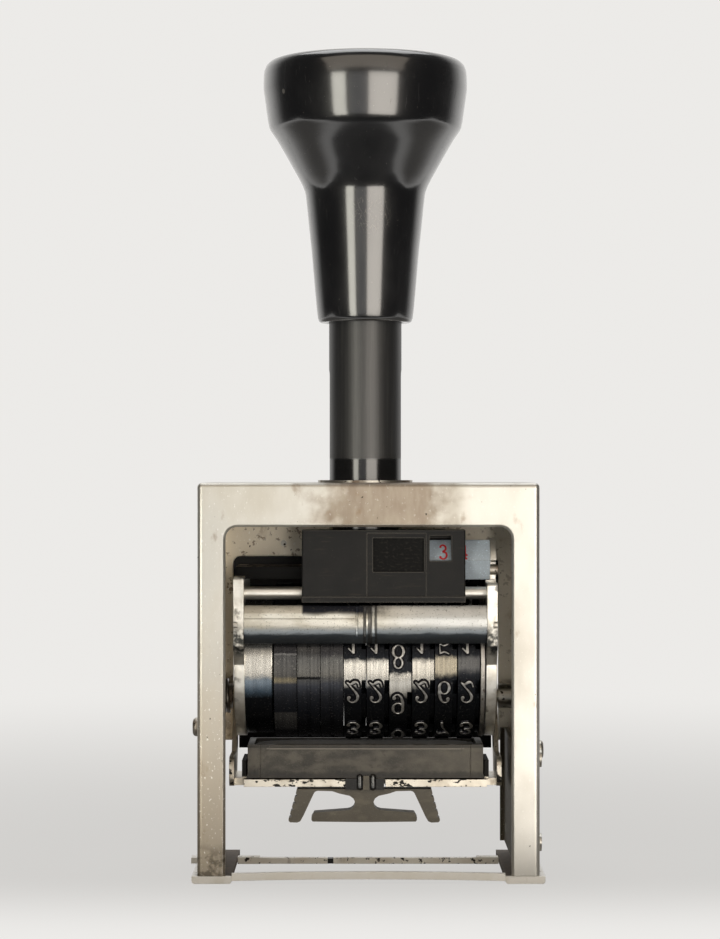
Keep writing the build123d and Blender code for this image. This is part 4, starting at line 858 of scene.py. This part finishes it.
# The nodes that don't wear the finish their record gives them.
NODE_FINISHES = {
    "hub_drum": "hub_steel",
    "carriage_bar": "bar_steel",
    "left_cheek": "cheek_steel",
    "right_cheek": "cheek_steel",
    "selector_rod": "rod_steel",
    "front_guide_bar": "clean_trim",
    "left_foot_plate": "foot_steel",
    "right_foot_plate": "foot_steel",
    "cassette_body": "cassette_plastic",
    "pad_tray": "tray_steel",
    "selector_slider": "slider_black",
    # near-black, as painted shade inside the works
    "detent_bar": "dark_steel",
    "carriage_bridge": "dark_steel",
    "pawl_ring": "pawl_ring_steel",
    "repeat_ring_1": "repeat_ring_1_steel",
    "repeat_ring_2": "repeat_ring_2_steel",
    "rear_guide_bars": "rusty_steel",
}
for wheel, (first, last, steel) in WHEEL_BANDS.items():
    # the band's colour is a painted highlight
    stops = [(RAMP_LOW, INK_AND_SHADE), (first - BAND_SOFT, INK_AND_SHADE), (first + BAND_SOFT, steel)]
    stops += [(last - BAND_SOFT, steel), (last + BAND_TAIL, INK_AND_SHADE), (RAMP_HIGH, INK_AND_SHADE)]
    TURNINGS[f"wheel_{wheel}_steel"] = (stops, 0.3)
    NODE_FINISHES[f"number_wheel_{wheel}"] = f"wheel_{wheel}_steel"

PAINTS = {name: plated(name, *look) for name, look in METALS.items()}
PAINTS |= {name: plastic(name, *look) for name, look in PLASTICS.items()}
PAINTS |= {name: turned_steel(name, *look) for name, look in TURNINGS.items()}
PAINTS |= {name: look(name) for name, look in SINGLE_LOOKS.items()}

for name, node in frame["nodes"].items():
    for material_slot in node.material_slots:
        finish = material_slot.material.name.split(".")[0]
        material_slot.material = PAINTS[NODE_FINISHES.get(name, finish)]


# ---------------------------------------------------------------- pieces

KNOB_SEGMENTS = 256
KNOB_PROFILE = [
    (0.01, 169.62), (1.5, 169.58), (3, 169.45), (5, 169.2), (7.5, 168.86), (10, 168.52), (14, 168.02),
    (17, 167.66), (18.8, 167.38), (19.8, 167.0), (20.5, 166.3), (20.9, 165.3), (21.03, 164.2),
    (21.08, 162.8), (21.06, 161.5), (21.02, 161.1), (20.75, 159.2), (20.45, 157.0), (20.15, 155.0),
    (19.85, 153.6), (19.6, 153.1), (19.2, 152.5), (18.3, 151.2), (17.3, 149.5), (16.25, 147.65),
    (15.05, 145.5), (13.8, 143.3), (12.9, 141.5), (12.5, 140.4), (12.33, 139.6), (12.1, 137.5),
    (11.6, 132.5), (11.15, 128.4), (10.78, 124.2), (10.43, 120.1), (10.05, 116), (9.82, 114.2),
    (9.55, 113.5), (9.2, 113.3), (8.2, 113.3), (7.7, 113.5), (7.6, 115.0),
]

knob = lathe("ball_knob", KNOB_PROFILE, PAINTS["black_gloss"], KNOB_SEGMENTS)
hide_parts("knob")
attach(knob, "carriage")

WHEEL_WIDTH, WHEEL_GAP = 4.45, 0.15
TYPE_WIDTH = 3.55  # the part of a wheel's width that carries type
FIGURE_STEP = 36.0  # degrees from one figure to the next
FIRST_FIGURE = {1: -52, 2: -52, 3: 66, 4: -52, 5: 164, 6: -52}  # each wheel's 0, in degrees
WASHER_RADII = (6.0, 14.6)
WASHER_SEGMENTS, WASHER_STEPS = 96, 4


def washer(points, faces, x):
    """Adds a thin ring that fills the gap beside a wheel."""
    start = len(points)
    for radius in WASHER_RADII:
        points += [(x, -radius * c, AXLE_Z - radius * s) for c, s in circle(WASHER_SEGMENTS)]
    for face in row_faces(len(WASHER_RADII), WASHER_SEGMENTS):
        faces.append([start + i for i in reversed(face)])


def ring_of_figures(wheel, first):
    """Ten raised figures round the wheel, mirrored as type is; first is the angle of the 0."""
    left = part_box(f"number_wheel_{wheel}")[0].x / MM
    rise_full = FACE_RADIUS - BAND_RADIUS - HALO_RISE
    points, faces = [], []
    for number, figure in enumerate("0123456789"):
        sheet, quads = figure_sheet(figure, (GLYPH_WIDTH, GLYPH_HEIGHT), rise_full)
        faces += (quads + len(points)).tolist()
        middle = math.radians(first + FIGURE_STEP * number)
        for across, up, rise in sheet:
            turn = middle + up / FACE_RADIUS
            radius = BAND_RADIUS + rise
            height = AXLE_Z - radius * math.sin(turn)
            points.append((left + TYPE_WIDTH / 2 + across, -radius * math.cos(turn), height))
    for step in range(1, WASHER_STEPS):
        washer(points, faces, left + WHEEL_WIDTH + WHEEL_GAP * step / WASHER_STEPS)
    ring = mesh_object(f"wheel_{wheel}_figures", points, faces, PAINTS["figure_steel"])
    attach(ring, f"wheel_{wheel}")


for wheel, angle in FIRST_FIGURE.items():
    ring_of_figures(wheel, angle)

# The repeat scale's figures, flat on the sloping upper face of the scale bar.
SCALE_FIGURES = {"1": 6.9, "2": 11.0, "3": 15.1, "4": 19.2}  # each figure's middle in x
SCALE_SIZE, SCALE_LINE = (1.8, 3.4), 0.42
SCALE_MIDDLE = (-14.2, 66.2)  # y and height of the figures' middles
SCALE_RUN, SCALE_CLIMB = 0.6, 0.8  # how the face climbs backward
SCALE_LIFT = 0.03  # how far the figures stand off the face


def scale_figures():
    points, faces = [], []
    for figure, x in SCALE_FIGURES.items():
        flat, quads = figure_ribbons(figure, SCALE_SIZE, SCALE_LINE)
        faces += [tuple(i + len(points) for i in quad) for quad in quads]
        for across, up in flat:
            y = SCALE_MIDDLE[0] + SCALE_RUN * up - SCALE_CLIMB * SCALE_LIFT
            height = SCALE_MIDDLE[1] + SCALE_CLIMB * up + SCALE_RUN * SCALE_LIFT
            points.append((x + across, y, height))
    made = mesh_object("scale_figures", points, faces, PAINTS["scale_red"], False)
    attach(made, "carriage")


scale_figures()

# The cassette's pull: one side of its outline; the other side mirrors it about the middle.
GRIP_MIDDLE = -0.84
GRIP_NEAR, GRIP_FAR = -9.3, -5.1
GRIP_TOP, GRIP_FOOT = (13.7, 17.7), (15.45, 11.5)
GRIP_NOTCHES = (16.4, 15.0, 13.6, 12.2)
NOTCH_HALF, NOTCH_DEPTH = 0.42, 0.5
GRIP_INSIDE = [
    (15.4, 11.2), (15.1, 10.95), (13.7, 10.9), (13.05, 11.15), (12.4, 12.3), (10.25, 16.9),
    (10.0, 17.2), (9.5, 17.38), (6.5, 17.3), (5.2, 16.85), (2.95, 16.35), (2.2, 15.8), (1.92, 15.2),
    (1.92, 14.6), (2.15, 14.05), (2.7, 13.6), (3.4, 13.4), (10.2, 12.9), (10.75, 12.0), (10.75, 11.4),
    (10.5, 11.1), (0, 11.0),
]


def grip_side():
    """Half of the pull's outline, from its top middle round to its bottom middle."""
    side = [(0, GRIP_TOP[1]), GRIP_TOP]
    lean = (GRIP_FOOT[0] - GRIP_TOP[0]) / (GRIP_FOOT[1] - GRIP_TOP[1])
    for notch in GRIP_NOTCHES:
        for height, depth in ((NOTCH_HALF, 0), (0, NOTCH_DEPTH), (-NOTCH_HALF, 0)):
            up = notch + height
            side.append((GRIP_TOP[0] + lean * (up - GRIP_TOP[1]) - depth, up))
    return [*side, GRIP_FOOT, *GRIP_INSIDE]


def cassette_pull():
    side = grip_side()
    right = [(GRIP_MIDDLE + x, height) for x, height in side]
    left = [(GRIP_MIDDLE - x, height) for x, height in side[-2:0:-1]]
    made = cutout("cassette_pull", right + left, GRIP_NEAR, GRIP_FAR, PAINTS["olive_plastic"])
    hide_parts("cassette_grip")
    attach(made, "cassette")


cassette_pull()

# A black block between the tray's lips that stands there as painted shade, the two ribs down its face and
# the pull's neck over it.
SHADE_BLOCK = [(-4.7, 17.6), (3.2, 17.6), (3.2, 19.95), (-4.7, 19.95)]
SHADE_BLOCK_NEAR, SHADE_BLOCK_FAR = -9.75, -9.34
NECK = [(-1.1, 17.6), (0.25, 17.6), (0.15, 20.5), (-1.0, 20.5)]
NECK_NEAR = -9.95
RIB_MIDDLES, RIB_RADIUS = (-1.75, 0.95), 0.62
RIB_BOTTOM, RIB_TOP = 17.5, 20.9
RIB_ROWS, RIB_SIDES = 6, 24
RIB_TIP = 0.02  # the share of its radius left open at a rib's ends


def rib(name, x):
    """A round-ended rib standing against the black block."""
    turns = [math.pi / 2 * i / RIB_ROWS for i in range(RIB_ROWS + 1)]
    rows = [(math.sin(turn), RIB_BOTTOM + RIB_RADIUS * (1 - math.cos(turn))) for turn in turns]
    rows += [(end, RIB_TOP + RIB_BOTTOM - height) for end, height in reversed(rows)]
    points = []
    for end, height in rows:
        out = RIB_RADIUS * max(end, RIB_TIP)
        points += [(x + out * c, SHADE_BLOCK_NEAR + out * s, height) for c, s in circle(RIB_SIDES)]
    faces = [face[::-1] for face in row_faces(len(rows), RIB_SIDES)]
    made = mesh_object(name, points, faces, PAINTS["black_stem"])
    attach(made, "cassette")


shade_block = cutout("pull_shade_block", SHADE_BLOCK, SHADE_BLOCK_NEAR, SHADE_BLOCK_FAR, PAINTS["black_cover"])
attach(shade_block, "cassette")
for number, x in enumerate(RIB_MIDDLES, 1):
    rib(f"pull_rib_{number}", x)
neck = cutout("pull_neck", NECK, NECK_NEAR, SHADE_BLOCK_NEAR, PAINTS["olive_plastic"])
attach(neck, "cassette")

PAD_HALF, PAD_NEAR, PAD_FAR = 22.5, -7.5, 4.7
PAD_BOTTOM, PAD_TOP, PAD_CROWN = 21.3, 26.68, 0.55
PAD_POWER = 6.0  # how square the pad's corners are
PAD_SEGMENTS = 96
# The shares of the pad's width at which its crown has a row of points: even, then closer at the rim.
PAD_SHARES = np.concatenate([np.linspace(0.04, 0.9, 8), 1 - 0.1 * np.linspace(0.8, 0, 6) ** 2])
CROWN_POWER = 8
PAD_SOLE = 0.96  # the share of its width that the pad stands on


def felt_pad():
    """The ink pad: a crowned block of felt with rounded corners."""
    middle_y, half_y = (PAD_NEAR + PAD_FAR) / 2, (PAD_FAR - PAD_NEAR) / 2
    rows = [(share, PAD_TOP - PAD_CROWN * share**CROWN_POWER) for share in PAD_SHARES]
    rows += [(1.0, PAD_TOP - 2 * PAD_CROWN), (1.0, PAD_BOTTOM + PAD_CROWN), (PAD_SOLE, PAD_BOTTOM)]
    points = []
    for share, height in rows:
        for c, s in circle(PAD_SEGMENTS):
            out = share / (abs(c) ** PAD_POWER + abs(s) ** PAD_POWER) ** (1 / PAD_POWER)
            points.append((WORKS_X + PAD_HALF * out * c, middle_y + half_y * out * s, height))
    faces = row_faces(len(rows), PAD_SEGMENTS)
    faces.append(tuple(range(PAD_SEGMENTS)))
    last = (len(rows) - 1) * PAD_SEGMENTS
    faces.append(tuple(last + i for i in reversed(range(PAD_SEGMENTS))))
    made = mesh_object("felt_pad", points, faces, PAINTS["ink_felt"])
    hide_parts("ink_pad")
    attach(made, "cassette")


felt_pad()

SPRING_RADIUS, SPRING_WIRE, SPRING_TURNS = 4.2, 0.55, 10
SPRING_STEPS, SPRING_SIDES = 40, 12


def return_coil():
    """The spring in the stem, coiled over the return spring's height; it moves with the carriage."""
    low, high = (corner.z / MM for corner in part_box("return_spring"))
    rise = high - low - 2 * SPRING_WIRE
    points = []
    count = SPRING_TURNS * SPRING_STEPS
    for step in range(count + 1):
        turn = 2 * math.pi * step / SPRING_STEPS
        middle = low + SPRING_WIRE + rise * step / count
        for c, s in circle(SPRING_SIDES):
            out = SPRING_RADIUS + SPRING_WIRE * c
            height = middle + SPRING_WIRE * s
            points.append((WORKS_X + out * math.cos(turn), out * math.sin(turn), height))
    faces = row_faces(count + 1, SPRING_SIDES)
    faces.append(tuple(reversed(range(SPRING_SIDES))))
    faces.append(tuple(count * SPRING_SIDES + side for side in range(SPRING_SIDES)))
    made = mesh_object("return_coil", points, faces, PAINTS["spring_steel"])
    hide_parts("return_spring")
    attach(made, "carriage")
    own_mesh(made)


return_coil()

# A thin dark strip across the pad tray, behind the wheels: painted shade where the works are dark.
SHADE_WEB = [(-27.3, 24.0), (26.1, 24.0), (26.1, 28.6), (-27.3, 28.6)]
WEB_NEAR, WEB_FAR = 12.6, 13.4
shade_web = cutout("tray_shade_web", SHADE_WEB, WEB_NEAR, WEB_FAR, PAINTS["dark_steel"])
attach(shade_web, "pad_carrier")

# A black block in the gap between the two rear guide bars: painted shade.
BAR_GAP_SHADE = [(-8.8, 0.1), (-7.0, 0.1), (-7.0, 1.15), (-8.8, 1.15)]
JOINT_NEAR, JOINT_FAR = 7.9, 10.1
gap_shade = cutout("bar_gap_shade", BAR_GAP_SHADE, JOINT_NEAR, JOINT_FAR, PAINTS["black_cover"])
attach(gap_shade, "frame_body")


# ----------------------------------------------------- camera, floor, light


def aim(thing, place, target):
    thing.location = place
    direction = Vector(target) - Vector(place)
    thing.rotation_euler = direction.to_track_quat("-Z", "Y").to_euler()


LENS, SENSOR = 105.8, 36
CLIP_NEAR, CLIP_FAR = 0.01, 20
VIEWPOINT = (-1.7, -572, 82.9)


def camera():
    """The photograph's view: level, square on, over half a metre away."""
    data = bpy.data.cameras.new("camera")
    data.lens = LENS
    data.sensor_width = SENSOR
    data.clip_start, data.clip_end = CLIP_NEAR, CLIP_FAR
    made = add_object("camera", data)
    made.location = [MM * value for value in VIEWPOINT]
    made.rotation_euler = (math.pi / 2, 0, 0)
    bpy.context.scene.camera = made


LAMP_BOTTOM, LAMP_TOP = -0.47, 0.32


def softbox(name, azimuth, bottom, top, width, radiance, colour, distance=1.3):
    """An upright soft light in front of the part, in metres; azimuth is in degrees, right of the camera."""
    turn = math.radians(azimuth)
    data = bpy.data.lights.new(name, "AREA")
    data.shape = "RECTANGLE"
    data.size, data.size_y = width, top - bottom
    data.energy = radiance * math.pi * width * (top - bottom)
    data.color = colour
    made = add_object(name, data)
    height = (top + bottom) / 2
    place = (distance * math.sin(turn), -distance * math.cos(turn), height)
    aim(made, place, (0, 0, height))
    return made


BACKDROP = 0.84
WARM = (1, 0.985, 0.96, 1)
WALL_FROM, WALL_FULL = 0.35, 0.85  # how far back a direction points where the wall starts and is full
ROOM_LIGHT, WALL_LIGHT = 0.035, 0.4
FLOOR_RADIUS, FLOOR_SEGMENTS = 0.5, 128
FRONT_SQUASH = 5.4  # the floor's front edge is this much nearer than its other edges
CAMERA_FADE, MIRROR_FADE = (0.06, 0.95), (0.22, 0.9)  # metres, and a share of the floor's radius


def world():
    """Pale to the camera; the object stands in a dim room with a pale wall behind it."""
    made = bpy.data.worlds.new("world")
    made.use_nodes = True
    tree = made.node_tree
    place = add_node(tree, "TexCoord").outputs["Generated"]
    back = add_node(tree, "SeparateXYZ", {0: place}).outputs["Y"]
    reach = {"Value": back, "From Min": WALL_FROM, "From Max": WALL_FULL}
    wall = add_node(tree, "MapRange", reach, interpolation_type="SMOOTHSTEP").outputs["Result"]
    path = add_node(tree, "LightPath").outputs
    glossy = add_node(tree, "Math", {0: path["Is Glossy Ray"], 1: wall}, operation="MULTIPLY")
    rays = {0: path["Is Camera Ray"], 1: path["Is Transmission Ray"]}
    seen = add_node(tree, "Math", rays, operation="ADD")
    rays = {0: seen.outputs[0], 1: glossy.outputs[0]}
    seen = add_node(tree, "Math", rays, operation="ADD", use_clamp=True)
    dim = add_node(tree, "MapRange", {"Value": wall, "To Min": ROOM_LIGHT, "To Max": WALL_LIGHT})
    strength = add_node(tree, "Mix", {0: seen.outputs[0], 2: dim.outputs["Result"], 3: BACKDROP})
    backdrop = tree.nodes["Background"].inputs
    fill(tree, backdrop["Strength"], strength.outputs[0])
    fill(tree, backdrop["Color"], WARM)
    bpy.context.scene.world = made


def floor():
    """A pale floor that takes the shadow and fades into the backdrop."""
    paint = Paint("floor", Specular_IOR_Level=0.0)
    y = paint.axis("Y")
    y = paint.most(y, paint.times(y, -FRONT_SQUASH))
    radius = paint.length(paint.axis("X"), y)
    mottle = paint.noise(60, 3)
    paint.set("Base Color", paint.blend(mottle, (0.36, 0.353, 0.34), (0.33, 0.324, 0.313)))
    paint.set("Roughness", 0.9)
    path = paint.node("LightPath").outputs
    mirrored = paint.most(path["Is Glossy Ray"], path["Is Transmission Ray"])
    near = paint.between(radius, CAMERA_FADE[0], FLOOR_RADIUS * CAMERA_FADE[1], 0.7, 1.0)
    far = paint.between(radius, MIRROR_FADE[0], FLOOR_RADIUS * MIRROR_FADE[1])
    share = paint.times(near, path["Is Camera Ray"])
    share = paint.most(share, paint.times(far, mirrored))
    glow = paint.node("Emission", {"Color": WARM, "Strength": BACKDROP})
    mixed = paint.node("MixShader", {0: share, 1: paint.shader.outputs[0], 2: glow.outputs[0]})
    fill(paint.tree, paint.tree.nodes["Material Output"].inputs["Surface"], mixed.outputs[0])
    rim = []
    for x, y in circle(FLOOR_SEGMENTS):
        squash = FRONT_SQUASH if y < 0 else 1
        rim.append((1000 * FLOOR_RADIUS * x, 1000 * FLOOR_RADIUS * y / squash, 0))
    made = mesh_object("floor", rim, [list(range(FLOOR_SEGMENTS))], paint.material, False)


camera()
world()
floor()
softbox("light_left", -30, LAMP_BOTTOM, LAMP_TOP, 0.36, 4.1, (1, 0.97, 0.86))
softbox("light_right", 20, LAMP_BOTTOM, LAMP_TOP, 0.77, 3.35, (1, 0.935, 0.845))
softbox("light_middle", -8, LAMP_BOTTOM, LAMP_TOP, 0.5, 0.35, (1, 1, 1), 1.4)
front_top = softbox("light_front_top", 0, -0.5, 0.5, 2.4, 0.75, (1, 0.88, 0.74))
aim(front_top, (0, -1.05, 0.85), (0, 0, 0.1))
top = softbox("light_top", 0, -0.4, 0.4, 1.2, 2.0, (1, 1, 1))
aim(top, (0, 0.25, 1.2), (0, 0, 0))

bpy.context.scene.view_settings.view_transform = "Standard"
